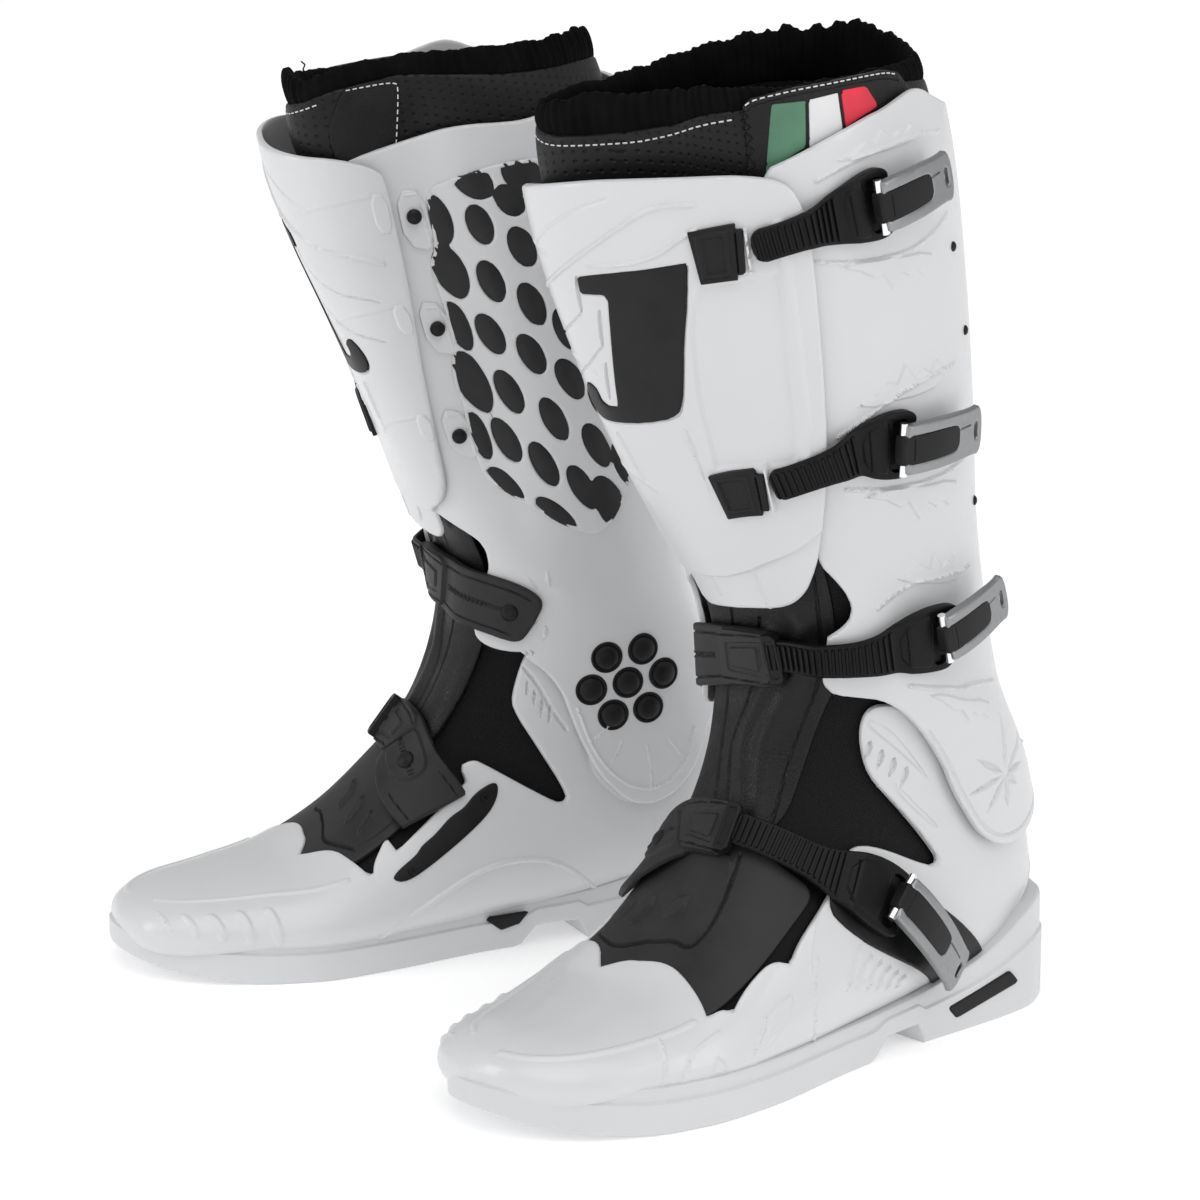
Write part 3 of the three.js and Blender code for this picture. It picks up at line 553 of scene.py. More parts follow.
def make_object(name, solid, material, sharp):
    mesh = bpy.data.meshes.new(name)
    mesh.from_pydata(solid.points.tolist(), [], solid.faces.tolist())
    layer = mesh.uv_layers.new(name="UVMap")
    corners = np.empty(len(mesh.loops), int)
    mesh.loops.foreach_get("vertex_index", corners)
    layer.data.foreach_set("uv", solid.uv[corners].ravel())
    mesh.polygons.foreach_set("use_smooth", np.ones(len(mesh.polygons), bool))
    mesh.set_sharp_from_angle(angle=math.radians(sharp))
    mesh.materials.append(material)
    obj = bpy.data.objects.new(name, mesh)
    bpy.context.scene.collection.objects.link(obj)
    weights = obj.modifiers.new("weighted_normals", "WEIGHTED_NORMAL")
    weights.keep_sharp = True
    return obj


def both_boots(name, solid, material, body, replaces=(), sharp=35.0, bends=None):
    """Places a piece on both boots, or one of a pair on each. bends gives two bodies and two local points;
    with it the piece is attached to no body and stays fixed, as the bodies and points are not used."""
    pair = solid if isinstance(solid, tuple) else (solid, solid)
    made = []
    for side, suffix, solid in ((1, "l", pair[0]), (-1, "r", pair[1])):
        m = boot_matrix(side)
        points = (solid.points @ m[:3, :3].T + m[:3, 3]) * MM
        faces = solid.faces if side > 0 else solid.faces[:, ::-1]
        obj = make_object(f"{name}_{suffix}", Solid(points, faces, solid.uv), material, sharp)
        if bends:
            a, b, start, end = bends
            start, end = ((m[:3, :3] @ np.array(p) + m[:3, 3]) * MM for p in (start, end))
            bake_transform(obj)
        else:
            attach(obj, f"{body}_{suffix}")
        if replaces:
            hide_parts(*(f"{node}_{suffix}" for node in replaces))
        made.append(obj)
    return made


def lathe(profile, segments=24):
    """A solid of revolution about Z from (radius, height) points that run from its axis back to its axis."""
    profile = np.asarray(profile, float)
    angles = np.linspace(0, 2 * math.pi, segments, endpoint=False)
    inner = profile[1:-1]
    ring = np.stack([
        np.outer(inner[:, 0], np.cos(angles)),
        np.outer(inner[:, 0], np.sin(angles)),
        np.repeat(inner[:, 1:], segments, axis=1),
    ], -1).reshape(-1, 3)
    points = np.vstack([ring, [[0, 0, profile[0, 1]], [0, 0, profile[-1, 1]]]])
    bottom, top = len(ring), len(ring) + 1
    faces = []
    for i in range(segments):
        k = (i + 1) % segments
        faces.append((bottom, k, i))
        for j in range(len(inner) - 1):
            a, b, c, d = j * segments + i, j * segments + k, (j + 1) * segments + k, (j + 1) * segments + i
            faces += [(a, b, c), (a, c, d)]
        last = (len(inner) - 1) * segments
        faces.append((top, last + i, last + k))
    return Solid(points, np.array(faces), points[:, :2] / 10)


def dome(radius, height, foot):
    """A rivet's head: a low dome on a short foot below the surface."""
    angles = np.radians(np.linspace(0, 90, 7))
    arc = [(radius * math.cos(a), height * math.sin(a)) for a in angles]
    return lathe([(0, -foot), (radius, -foot), *arc[:-1], (0, height)])


def placed(solid, matrix):
    """A solid moved by a 4 by 4 matrix."""
    m = np.array(matrix)
    return Solid(solid.points @ m[:3, :3].T + m[:3, 3], solid.faces, solid.uv)


def surface_frame(deg, row, distance):
    """The frame at a place on the surface: z points outwards and y runs up the rows."""
    row, deg = np.array([float(row)]), np.array([float(deg)])
    z = outward(row, deg)[0]
    y = form(row + 0.05, deg)[0] - form(row - 0.05, deg)[0]
    y = unit(y - z * (y @ z))
    m = np.eye(4)
    m[:3, 0], m[:3, 1], m[:3, 2] = np.cross(y, z), y, z
    m[:3, 3] = at(row, deg, np.array([distance]))[0]
    return m


# ---- materials -----------------------------------------------------------------------------------

def new_material(name, color, roughness, **sockets):
    """A material with its principled shader, and its node tree's nodes and links."""
    material = bpy.data.materials.new(name)
    material.use_nodes = True
    shader = material.node_tree.nodes["Principled BSDF"]
    shader.inputs["Base Color"].default_value = (*color, 1)
    shader.inputs["Roughness"].default_value = roughness
    for socket, value in sockets.items():
        shader.inputs[socket.replace("_", " ")].default_value = value
    return material, shader, material.node_tree.nodes, material.node_tree.links


def noise(nodes, links, scale, detail=3.0):
    """A noise texture in the object's own space, in metres."""
    coordinates = nodes.new("ShaderNodeTexCoord")
    texture = nodes.new("ShaderNodeTexNoise")
    texture.inputs["Scale"].default_value = scale
    texture.inputs["Detail"].default_value = detail
    links.new(coordinates.outputs["Object"], texture.inputs["Vector"])
    return texture


def remap(nodes, links, source, low, high, to_low, to_high):
    """A value mapped from one range to another, held at the ends."""
    node = nodes.new("ShaderNodeMapRange")
    for name, value in (("From Min", low), ("From Max", high), ("To Min", to_low), ("To Max", to_high)):
        node.inputs[name].default_value = value
    links.new(source, node.inputs["Value"])
    return node.outputs["Result"]


def tint(nodes, links, shader, factor, dark, light):
    """Varies the base colour between two colours by a factor."""
    mix = nodes.new("ShaderNodeMix")
    mix.data_type = "RGBA"
    mix.inputs["A"].default_value = (*dark, 1)
    mix.inputs["B"].default_value = (*light, 1)
    links.new(factor, mix.inputs["Factor"])
    links.new(mix.outputs["Result"], shader.inputs["Base Color"])


def bump(nodes, links, shader, height, strength, distance):
    """Adds a bump from a height, after any bump that is already there."""
    node = nodes.new("ShaderNodeBump")
    node.inputs["Strength"].default_value = strength
    node.inputs["Distance"].default_value = distance
    links.new(height, node.inputs["Height"])
    before = shader.inputs["Normal"].links
    if before:
        links.new(before[0].from_socket, node.inputs["Normal"])
    links.new(node.outputs["Normal"], shader.inputs["Normal"])


def white_plastic(name, color, roughness, grain):
    """Moulded white plastic: faint flow marks, fine grain and light scuffs."""
    material, shader, nodes, links = new_material(name, color, roughness, Coat_Weight=0.25,
                                                  Coat_Roughness=0.12)
    shader.inputs["Subsurface Weight"].default_value = 0.06
    shader.inputs["Subsurface Radius"].default_value = (0.004, 0.004, 0.004)
    flow = noise(nodes, links, 14.0, 4.0)
    dark = tuple(0.965 * c for c in color)
    tint(nodes, links, shader, remap(nodes, links, flow.outputs["Fac"], 0.3, 0.7, 0, 1), dark, color)
    scuffs = noise(nodes, links, 260.0, 8.0)
    rough = remap(nodes, links, scuffs.outputs["Fac"], 0.4, 0.75, roughness - 0.04, roughness + 0.12)
    links.new(rough, shader.inputs["Roughness"])
    fine = noise(nodes, links, 1800.0, 2.0)
    bump(nodes, links, shader, fine.outputs["Fac"], grain, 0.0001)
    return material


def black_moulding(name, color, roughness, grain, scale=1400.0, specular=0.5):
    """Moulded black rubber or plastic with a fine stipple and slightly worn, paler patches."""
    material, shader, nodes, links = new_material(name, color, roughness)
    shader.inputs["Specular IOR Level"].default_value = specular
    wear = noise(nodes, links, 60.0, 6.0)
    pale = tuple(1.5 * c + 0.004 for c in color)
    tint(nodes, links, shader, remap(nodes, links, wear.outputs["Fac"], 0.35, 0.8, 0, 1), color, pale)
    rough = remap(nodes, links, wear.outputs["Fac"], 0.3, 0.7, roughness - 0.06, roughness + 0.08)
    links.new(rough, shader.inputs["Roughness"])
    stipple = noise(nodes, links, scale, 2.0)
    bump(nodes, links, shader, stipple.outputs["Fac"], grain, 0.0002)
    return material


def leather():
    """Black grained leather: cells of fine creases, with a soft sheen."""
    material, shader, nodes, links = new_material("black_leather", (0.005, 0.005, 0.0054), 0.42)
    shader.inputs["Specular IOR Level"].default_value = 0.3
    coordinates = nodes.new("ShaderNodeTexCoord")
    cells = nodes.new("ShaderNodeTexVoronoi")
    cells.feature = "DISTANCE_TO_EDGE"
    cells.inputs["Scale"].default_value = 620.0
    links.new(coordinates.outputs["Object"], cells.inputs["Vector"])
    crease = remap(nodes, links, cells.outputs["Distance"], 0.0, 0.12, 0, 1)
    bump(nodes, links, shader, crease, 0.35, 0.0003)
    wrinkles = noise(nodes, links, 90.0, 5.0)
    bump(nodes, links, shader, wrinkles.outputs["Fac"], 0.35, 0.0012)
    links.new(remap(nodes, links, wrinkles.outputs["Fac"], 0.3, 0.7, 0.34, 0.52), shader.inputs["Roughness"])
    return material


def perforated():
    """Soft black leather with rows of punched holes, on the piece's own map. The holes carry painted shade:
    their base colour is darker.
    """
    material, shader, nodes, links = new_material("perforated_leather", (0.008, 0.008, 0.0085), 0.48)
    shader.inputs["Specular IOR Level"].default_value = 0.25
    coordinates = nodes.new("ShaderNodeTexCoord")
    cells = nodes.new("ShaderNodeTexVoronoi")
    cells.inputs["Scale"].default_value = 2.6
    cells.inputs["Randomness"].default_value = 0.12
    links.new(coordinates.outputs["UV"], cells.inputs["Vector"])
    hole = remap(nodes, links, cells.outputs["Distance"], 0.14, 0.24, 0, 1)
    # painted shade: the base colour is darker inside each punched hole, where shade falls
    tint(nodes, links, shader, hole, (0.002, 0.002, 0.002), (0.009, 0.009, 0.0095))
    bump(nodes, links, shader, hole, 0.6, 0.0006)
    grain = noise(nodes, links, 700.0, 4.0)
    bump(nodes, links, shader, grain.outputs["Fac"], 0.3, 0.0003)
    return material


def woven_mesh():
    """Coarse black woven mesh: crossed threads on the piece's own map, with painted shade in the gaps between
    the threads.
    """
    material, shader, nodes, links = new_material("woven_mesh", (0.02, 0.02, 0.021), 0.55)
    shader.inputs["Specular IOR Level"].default_value = 0.15
    coordinates = nodes.new("ShaderNodeTexCoord")
    heights = []
    for direction in ("X", "Y"):
        wave = nodes.new("ShaderNodeTexWave")
        wave.wave_type = "BANDS"
        wave.bands_direction = direction
        wave.inputs["Scale"].default_value = 3.2
        wave.inputs["Distortion"].default_value = 0.4
        links.new(coordinates.outputs["UV"], wave.inputs["Vector"])
        heights.append(wave.outputs["Fac"])
    product = nodes.new("ShaderNodeMath")
    product.operation = "MULTIPLY"
    links.new(heights[0], product.inputs[0])
    links.new(heights[1], product.inputs[1])
    thread = remap(nodes, links, product.outputs[0], 0.15, 0.7, 0, 1)
    # painted shade: the base colour is darker in the sunk gaps between the threads and lighter on the raised
    # threads
    tint(nodes, links, shader, thread, (0.006, 0.006, 0.007), (0.014, 0.014, 0.0145))
    bump(nodes, links, shader, thread, 0.9, 0.0006)
    return material


def metal(name, color, roughness):
    """Satin or polished metal, faintly brushed."""
    material, shader, nodes, links = new_material(name, color, roughness, Metallic=1.0)
    brush = noise(nodes, links, 500.0, 4.0)
    rough = remap(nodes, links, brush.outputs["Fac"], 0.3, 0.7, roughness * 0.8, roughness * 1.3)
    links.new(rough, shader.inputs["Roughness"])
    bump(nodes, links, shader, brush.outputs["Fac"], 0.15, 0.0001)
    return material


SHELL = white_plastic("white_shell", (0.66, 0.665, 0.675), 0.34, 0.03)
SOLE_WHITE = white_plastic("white_sole", (0.64, 0.645, 0.655), 0.45, 0.08)
RUBBER = black_moulding("black_rubber", (0.016, 0.016, 0.017), 0.5, 0.25, specular=0.3)
PLASTIC = black_moulding("black_plastic", (0.006, 0.006, 0.0065), 0.42, 0.12, specular=0.22)
STRAP = black_moulding("strap_plastic", (0.003, 0.003, 0.0034), 0.4, 0.12, specular=0.18)
LEATHER = leather()
MESH = woven_mesh()
ALUMINIUM = metal("aluminium", (0.3, 0.305, 0.31), 0.36)
PERFORATED = perforated()
CUFF = black_moulding("cuff_fabric", (0.002, 0.002, 0.0023), 0.8, 0.5, 900.0, 0.06)
CHROME = metal("chrome", (0.86, 0.87, 0.88), 0.12)


# ---- the hard shells -----------------------------------------------------------------------------

SHARP = 1
FOOT_OPENING = [
    (-12, 4.1, SHARP), (0, 4.43), (15, 4.53), (35, 4.38), (50, 4.25), (63, 4.13, SHARP), (64.5, 4.36),
    (72, 4.46, SHARP), (67, 4.7), (65, 5.05), (67, 5.35), (76, 5.5, SHARP), (72, 5.8), (70, 6.45),
    (66, 7.2), (65, 7.5), (72, 7.75), (88, 8.03), (90.5, 8.2), (88, 8.32), (72, 8.55), (60, 8.7), (55, 9.1),
    (54, 9.5), (57, 9.85), (64, 10.1), (75, 10.3), (86, 10.6), (90, 11.2), (-92, 11.2), (-88, 10.8),
    (-75, 10.3), (-60, 9.9), (-54, 9.4), (-51, 8.9), (-52, 8.3), (-56, 8.1), (-70, 7.85), (-88, 7.52),
    (-89.5, 7.4), (-88, 7.27), (-62, 7.02), (-56, 6.95), (-53.5, 6.7, SHARP), (-62, 6.6, SHARP),
    (-67.5, 5.22, SHARP), (-54, 5.22, SHARP), (-58, 5.05), (-66, 4.82), (-75, 4.74), (-75, 4.7), (-70, 4.7),
    (-50, 4.62), (-28, 4.52),
]


def spike(start, end, width):
    """A thin leaf shape from one (deg, row) to another, widest near its start; width is in degrees."""
    (a, b), (c, d) = start, end
    run = np.array([c - a, (d - b) * ROW_SPAN])
    across = np.array([-run[1], run[0] / ROW_SPAN]) / max(np.hypot(*run), 1e-6) * width
    near = np.array([a, b]) + 0.3 * np.array([c - a, d - b])
    return [(a, b, SHARP), tuple(near + across), (c, d, SHARP), tuple(near - across)]


def foot_shell():
    """The toe cap, sides and heel cup, with the mouldings of each side."""
    slab = Slab(SURFACE, (-180, 0), (180, FOOT_TOP), 2.7, 2.0)
    slab.keep(FOOT_OPENING, grow=-1)
    slab.keep_where(lambda p: (FOOT_TOP - p[:, 1]) * ROW_SPAN)
    # the outer side
    slab.line([(61, 3.9), (61, 3.3), (59, 2.7), (54, 2.1), (47, 1.7), (38, 1.35), (20, 1.1)], 0.7, 4.0)
    slab.panel([(85.5, 5.25), (90, 5.2), (97, 4.85), (104, 4.48), (97, 4.5), (89, 4.75), (86, 4.95)],
               0.9, 1.2)
    slab.line([(88, 4.74), (98, 4.44), (110, 4.37), (136, 4.5)], 0.7, 2.2)
    slab.line([(79, 4.1), (82, 3.75), (90, 3.5), (104, 3.4), (116, 3.42)], 0.6, 2.2)
    slab.panel([(91, 3.95), (107, 4.05, SHARP), (105, 3.76, SHARP), (93, 3.88)], 0.7, 1.2)
    slab.line([(64, 3.3), (90, 3.2), (108, 3.1), (120, 3.2), (134, 3.42)], 0.6, 2.2)
    slab.line([(84, 5.78), (92, 5.47), (105, 5.28), (120, 5.24), (136, 5.36)], 0.7, 2.2)
    slab.line([(70, 6.3), (74, 6.0), (80, 5.75), (86, 5.6)], 0.5, 2.0)
    for k in range(6):
        start = (90 + 5.0 * k, 6.37 + 0.05 * k)
        end = (start[0] + 14 - 1.6 * k, start[1] - 0.62 + 0.08 * k)
        slab.panel(spike(start, end, 2.0), 1.3, 0.9, times=1)
    slab.panel([(55.5, 9.55), (58, 9.75), (68, 9.75), (84, 9.25), (70, 9.42), (60, 9.5)], 0.8, 1.4)
    for k in range(4):
        top = (58.5 + 4.6 * k, 9.36 - 0.01 * k)
        slab.panel(spike(top, (top[0] - 1.6, top[1] - 0.5), 1.5), -1.5, 0.8, times=1)
    slab.line(side_place([(60, 30), (82, 39), (100, 50), (112, 62)], 1), 0.5, 1.8)
    slab.panel([(67, 8.92), (71, 8.88), (79, 8.78), (88, 8.72), (84, 8.62), (70, 8.72)], 0.6, 1.0)
    # the inner side
    bars = [(3.14, -114, -66), (2.72, -109, -64), (2.3, -103, -62), (1.87, -96, -57), (1.36, -88, -46)]
    for k, (row, start, end) in enumerate(bars):
        drop = 0.09 + 0.02 * k
        slab.panel([(start, row + drop), (start + 8, row + 0.13 + drop), (end - 4, row + 0.1), (end, row),
                    (end - 3, row - 0.1), (start + 12, row - 0.08 + drop)], 0.9, 1.6)
    slab.line([(-143, 4.45), (-126, 4.5), (-113, 4.7), (-104, 5.15), (-99, 5.7), (-99, 6.15), (-103, 6.5),
               (-110, 6.7), (-125, 6.8), (-158, 6.92)], 1.0, 3.0)
    slab.line([(-66, 4.4), (-59, 3.9), (-52, 3.4), (-48, 2.9), (-42, 2.3), (-34, 1.8), (-22, 1.45)], 0.6, 3.4)
    slab.panel([(-95, 7.95), (-100, 8.1), (-106, 8.5), (-108, 9.0), (-106, 10.4), (-86, 10.4), (-78, 9.6),
                (-80, 8.5), (-86, 8.05)], 0.8, 2.2)
    for k in range(4):
        top = (-55.5 - 3.6 * k, 8.82 - 0.05 * k)
        slab.panel(spike(top, (top[0] - 2.5, top[1] - 0.42), 1.2), -1.2, 0.8, times=1)
    slab.line([(-74, 8.45), (-66, 8.62), (-60, 8.86), (-53, 8.98)], -0.9, 2.6)
    return slab.solid(GAP, GAP + WALL, lip=1.4, wrap=True, lip_low=0.4)


SHAFT_OUTLINE = [
    (47, 15.6), (60, 15.86), (76, 16.24), (89, 16.56), (105, 16.94), (112, 16.98), (120, 16.84), (135, 16.72),
    (180, 16.68), (222, 16.6), (240, 16.45), (252, 16.22), (265, 15.99), (285, 15.84), (300, 15.6),
    (320, 15.2), (328, 15.1), (330, 13.5), (334, 12), (342, 11.3), (342, 11.12, SHARP), (320, 11.03),
    (316, 10.9), (318, 10.6), (323, 10.3), (332, 9.9), (333, 9.3), (331, 8.98), (324, 8.95), (315, 9.1),
    (307, 9.35), (303, 9.5),
    *inner_place([(-5, 137), (4, 132), (12, 122), (17, 108), (22, 95), (30, 78), (42, 66), (53, 63), (65, 67),
                  (74, 76), (79, 88), (82, 101), (88, 110)]),
    (222, 10.62), (202, 10.98), (180, 11.08), (158, 10.98), (134, 10.52),
    *side_place([(108, 104), (100, 95), (91, 85), (80, 79.5), (68, 80), (55, 88), (45, 102), (36, 117)], 1),
    (84, 9.68), (74, 10.08), (63, 10.2), (52, 9.98), (43, 9.8), (39.5, 9.9), (39.5, 10.1), (43, 10.72, SHARP),
    (52, 11.03), (55, 11.2), (54.5, 11.35), (50, 11.46), (43.5, 11.56), (42, 12.2), (44, 14),
]


def mountains(slab, low, high, side):
    """Jagged moulded peaks along a buckle: between two (deg, row) ends, above it (+1) or below it (-1)."""
    (a, b), (c, d) = low, high
    at_share = lambda t, up: (a + (c - a) * t, b + (d - b) * t + side * up)
    peaks = [(0.0, 0.0), (0.2, 0.05), (0.34, 0.14), (0.42, 0.1), (0.5, 0.26), (0.58, 0.1), (0.68, 0.16),
             (0.74, 0.1), (0.84, 0.19), (0.88, 0.09), (1.0, 0.0)]
    outline = [(*at_share(t, up), SHARP) for t, up in peaks] + [at_share(t, -0.06) for t in (0.8, 0.5, 0.2)]
    slab.panel(outline, 0.9, 0.9, times=0)


def shaft_shell():
    """The hard shell round the calf, with its ankle lobes and the mouldings round the buckles."""
    slab = Slab(SURFACE, (38, 7.9), (344, 17.2), 2.9, 2.25)
    slab.keep(SHAFT_OUTLINE)
    for line, height, width in (
        ([(66, 15.62), (86, 16.05), (104, 16.3), (118, 16.35)], 0.8, 2.6),
        ([(62, 14.72), (80, 14.86), (96, 15.1), (116, 15.5)], 0.9, 2.6),
        ([(62, 12.98), (78, 13.42), (96, 13.95), (114, 14.2)], 0.8, 2.6),
        ([(62, 12.5), (80, 12.72), (98, 13.08), (122, 13.5)], 0.9, 2.6),
        ([(66, 11.4), (80, 11.82), (96, 12.2), (116, 12.5)], 0.8, 2.6),
        ([(72, 10.62), (86, 10.86), (100, 11.2), (118, 11.42)], 0.9, 2.6),
    ):
        slab.line(line, height, width)
    mountains(slab, (72, 15.86), (108, 16.36), 1)
    mountains(slab, (70, 14.72), (106, 15.12), -1)
    mountains(slab, (70, 13.36), (110, 14.12), 1)
    mountains(slab, (68, 12.5), (112, 13.2), -1)
    mountains(slab, (76, 11.84), (112, 12.44), 1)
    mountains(slab, (78, 10.62), (108, 11.1), -1)
    # the star over the outer ankle, and the raised rim of the outer lobe
    centre = np.array((68.0, 112.0))
    rays = ((98, 30), (48, 22), (5, 13), (-38, 12), (-78, 17), (-122, 19), (-170, 25), (150, 23))
    for angle, length in rays:
        along = np.array((math.cos(math.radians(angle)), math.sin(math.radians(angle))))
        tip = centre + length * along
        across = 2.3 * np.array((-along[1], along[0]))
        bulge = centre + 0.45 * (tip - centre)
        places = side_place([centre, bulge + across, tip, bulge - across], 1)
        slab.panel([(*places[0], SHARP), places[1], (*places[2], SHARP), places[3]], -1.3, 1.3, times=1)
    rim = [(24, 139), (36, 123), (47, 104), (57, 91), (68, 84.5), (80, 84.5), (91, 91), (101, 104)]
    slab.line(side_place(rim, 1), -0.7, 2.2)
    slab.line([(134, 10.9), (146, 10.95), (160, 11.3)], 0.7, 2.0)
    # the inner side: rays beside the ankle band, and the petals of the inner lobe
    for k in range(7):
        angle = math.radians(100 + 26 * k)
        along = np.array((math.cos(angle), math.sin(angle)))
        near = np.array((8.0, 162.0)) + 9 * along
        far = near + (9 + 3 * (k % 2)) * along
        slab.panel(spike(*inner_place([near, far]), 1.3), 0.8, 0.9, times=1)
    petals = [(20, 112), (25, 96), (33, 82), (44, 73), (54, 71), (65, 75), (72, 86), (74, 98)]
    slab.line(inner_place(petals), 0.8, 2.2)
    ribs = (((33, 82), (40, 96)), ((54, 71), (52, 92)), ((70, 82), (62, 95)), ((25, 96), (34, 103)))
    for (y, z), (v, w) in ribs:
        slab.line(inner_place([(y, z), ((y + v) / 2 + 1, (z + w) / 2), (v, w)]), 0.6, 1.8)
    lift = lambda p: shaft_lift(p[:, 1])
    return slab.solid(lift, lambda p: lift(p) + WALL, lip=1.3, lip_low=0.4)


# The hinge tabs: the lower left corner, the upper right one and the rivet.
HINGES = [((-60.5, 14.22), (-51.6, 14.98), (-55.6, 14.63)), ((-58.5, 13.08), (-49.4, 13.66), (-53.6, 13.36)),
          ((-55.5, 12.0), (-45.4, 12.53), (-50.0, 12.25))]
PLATE_OUTLINE = [
    (-50, 15.08), (-48, 15.18), (-40, 15.27), (-28, 15.3), (-16, 15.34), (0, 15.42), (20, 15.49), (40, 15.58),
    (52, 15.6), (58.5, 15.5), (61.5, 15.1), (61.5, 14.4), (60, 13.5), (56.5, 12.75), (51, 12.15), (45, 11.65),
    (41.5, 11.45), (37, 11.2), (29, 10.93), (20, 10.78), (10, 10.68), (0, 10.6), (-12, 10.6), (-17, 10.7),
    (-21, 10.84), (-23, 11.1), (-25, 11.22), (-33, 11.37), (-39, 11.65), (-41.5, 12.0), (-44, 12.46),
    (-46.3, 13.06), (-48.6, 13.6), (-50, 14.2),
]
INSERT_OUTLINE = [
    (-14.5, 14.2, SHARP), (0, 14.28), (21, 14.48, SHARP), (18, 14.02), (11.5, 13.55), (7.3, 13.17),
    (4, 12.86), (0.7, 12.71), (-10, 12.65), (-20, 12.67), (-27, 12.72), (-30.5, 12.8), (-31.5, 12.92),
    (-30, 13.03), (-27.5, 13.09), (-25, 13.05), (-23.5, 12.99, SHARP), (-23.8, 12.91, SHARP),
    (-22.3, 12.84), (-18, 12.82, SHARP), (-16.8, 12.87), (-7.2, 13.9), (-7.7, 13.99, SHARP),
    (-15.3, 14.0, SHARP),
]
# The bars beside the two clips, which the straps pass over.
CLIP_BARS = [
    [(40.3, 14.46), (42, 14.48), (42, 15.03), (40.3, 15.0)],
    [(30.8, 12.0), (32.8, 12.03), (32.8, 12.48), (30.8, 12.44)],
]


def shin_plate():
    """The plate over the shin, with its creases, the bed of the insert and the moulded lines."""
    slab = Slab(SURFACE, (-53, 10.5), (64, 15.7), 2.2, 1.6)
    slab.keep(PLATE_OUTLINE)
    # the flat outer facet between the two clips, and the crease along the plate's outer side
    slab.panel([(24, 14.24, SHARP), (46, 14.5), (51, 14.6), (50, 13.5), (47, 12.7), (44, 12.56),
                (33, 12.42), (8.4, 12.24, SHARP), (8.8, 12.9), (11.5, 13.3), (15.3, 13.76)], -1.1, 2.4,
               times=1)
    slab.line([(51.5, 15.1), (52.5, 14.2), (51, 13.2), (47.5, 12.5)], 1.0, 6.0)
    # the lower step
    slab.panel([(-30, 11.22), (-20, 11.15), (-9, 11.09), (0, 11.1), (7, 11.17), (15, 11.28), (23, 11.42),
                (34, 11.61), (42, 11.8), (52, 12.1), (52, 10.3), (-30, 10.3)], -1.3, 1.3)
    slab.line([(14.8, 11.26), (17, 11.05), (20, 10.8)], 0.6, 1.8)
    slab.panel(spike((-8, 11.1), (-1.8, 10.74), 1.6), 0.8, 0.9, times=1)
    # swooping lines above the insert
    slab.line([(-29, 14.6), (-20, 14.82), (-9, 15.07), (0, 15.2)], -0.5, 2.2)
    slab.line([(-44, 14.0), (-28.5, 14.11), (-20, 14.26), (-9, 14.53), (0, 14.8), (7, 15.03), (16, 15.17),
               (26, 15.2)], 0.9, 2.4)
    slab.line([(-10, 14.34), (-1, 14.35), (10, 14.5), (20, 14.76), (26, 14.92)], 0.8, 2.0)
    # tapered grooves below the insert
    slab.panel([(1, 12.62), (3, 12.62, SHARP), (4.2, 12.2), (4.2, 11.92, SHARP), (3, 12.2)], 1.0, 1.0,
               times=1)
    slab.panel([(-25, 12.6), (-22.5, 12.6, SHARP), (-21, 12.3), (-20.5, 12.0, SHARP), (-23, 12.3)], 1.0,
               1.0, times=1)
    # the bed that the insert lies in, and the slots and lines of the bracket inside its hook
    bed = [(deg + (0.5 if deg > 0 else -0.3), row - 0.02, *sharp) for deg, row, *sharp in INSERT_OUTLINE]
    slab.panel(bed, -0.6, 0.8, times=1)
    slots = (((-11, 13.83), (-14.9, 13.42)), ((-15.8, 13.26), (-20, 12.89)), ((-14.6, 14.22), (-17.4, 13.8)))
    for (a, b), (c, d) in slots:
        slab.panel([(a - 0.9, b), (a + 0.7, b), (c + 0.9, d), (c - 0.7, d)], -1.3, 0.6, times=1)
    slab.line([(-17.4, 13.8), (-18.6, 13.76), (-27, 13.62), (-40, 13.55)], -0.7, 1.4, times=1)
    slab.line([(-14.9, 13.42), (-25, 13.2), (-38, 13.12)], -0.7, 1.4, times=1)
    # the blocks that the hinge tabs step up to
    for (_, low), (right, high), _ in HINGES:
        near, far = right + 2.6, right + 7
        slab.panel([(near, low + 0.16), (far, low + 0.14), (far, high - 0.12), (near, high - 0.1)], 0.9,
                   0.8, times=1)
        slab.line([(right + 7, high - 0.15), (right + 18, high - 0.3), (right + 28, high - 0.5)], 0.4, 2.6)
    for bar in CLIP_BARS:
        slab.panel(bar, 3.4, 0.6, times=0)
    lift = lambda p: plate_lift(p[:, 0], p[:, 1])
    return slab.solid(lift, lambda p: lift(p) + WALL, lip=1.5, lip_low=0.4)


def shin_insert():
    """The black bracket-shaped insert on the shin plate."""
    slab = Slab(SURFACE, (-34, 12.5), (24, 14.6), 1.7)
    slab.keep(INSERT_OUTLINE, 1)
    lift = lambda p: plate_lift(p[:, 0], p[:, 1]) + WALL
    return slab.solid(lambda p: lift(p) - 0.8, lambda p: lift(p) + 0.6, lip=0.6)


both_boots("foot_shell", foot_shell(), SHELL, "foot", ["foot_shell"])
both_boots("shaft_shell", shaft_shell(), SHELL, "shaft", ["shaft_shell"])
both_boots("shin_plate", shin_plate(), SHELL, "shin_plate", ["shin_plate"])
both_boots("shin_insert", shin_insert(), PLASTIC, "shin_plate", ["shin_insert"])


# ---- the sole ------------------------------------------------------------------------------------

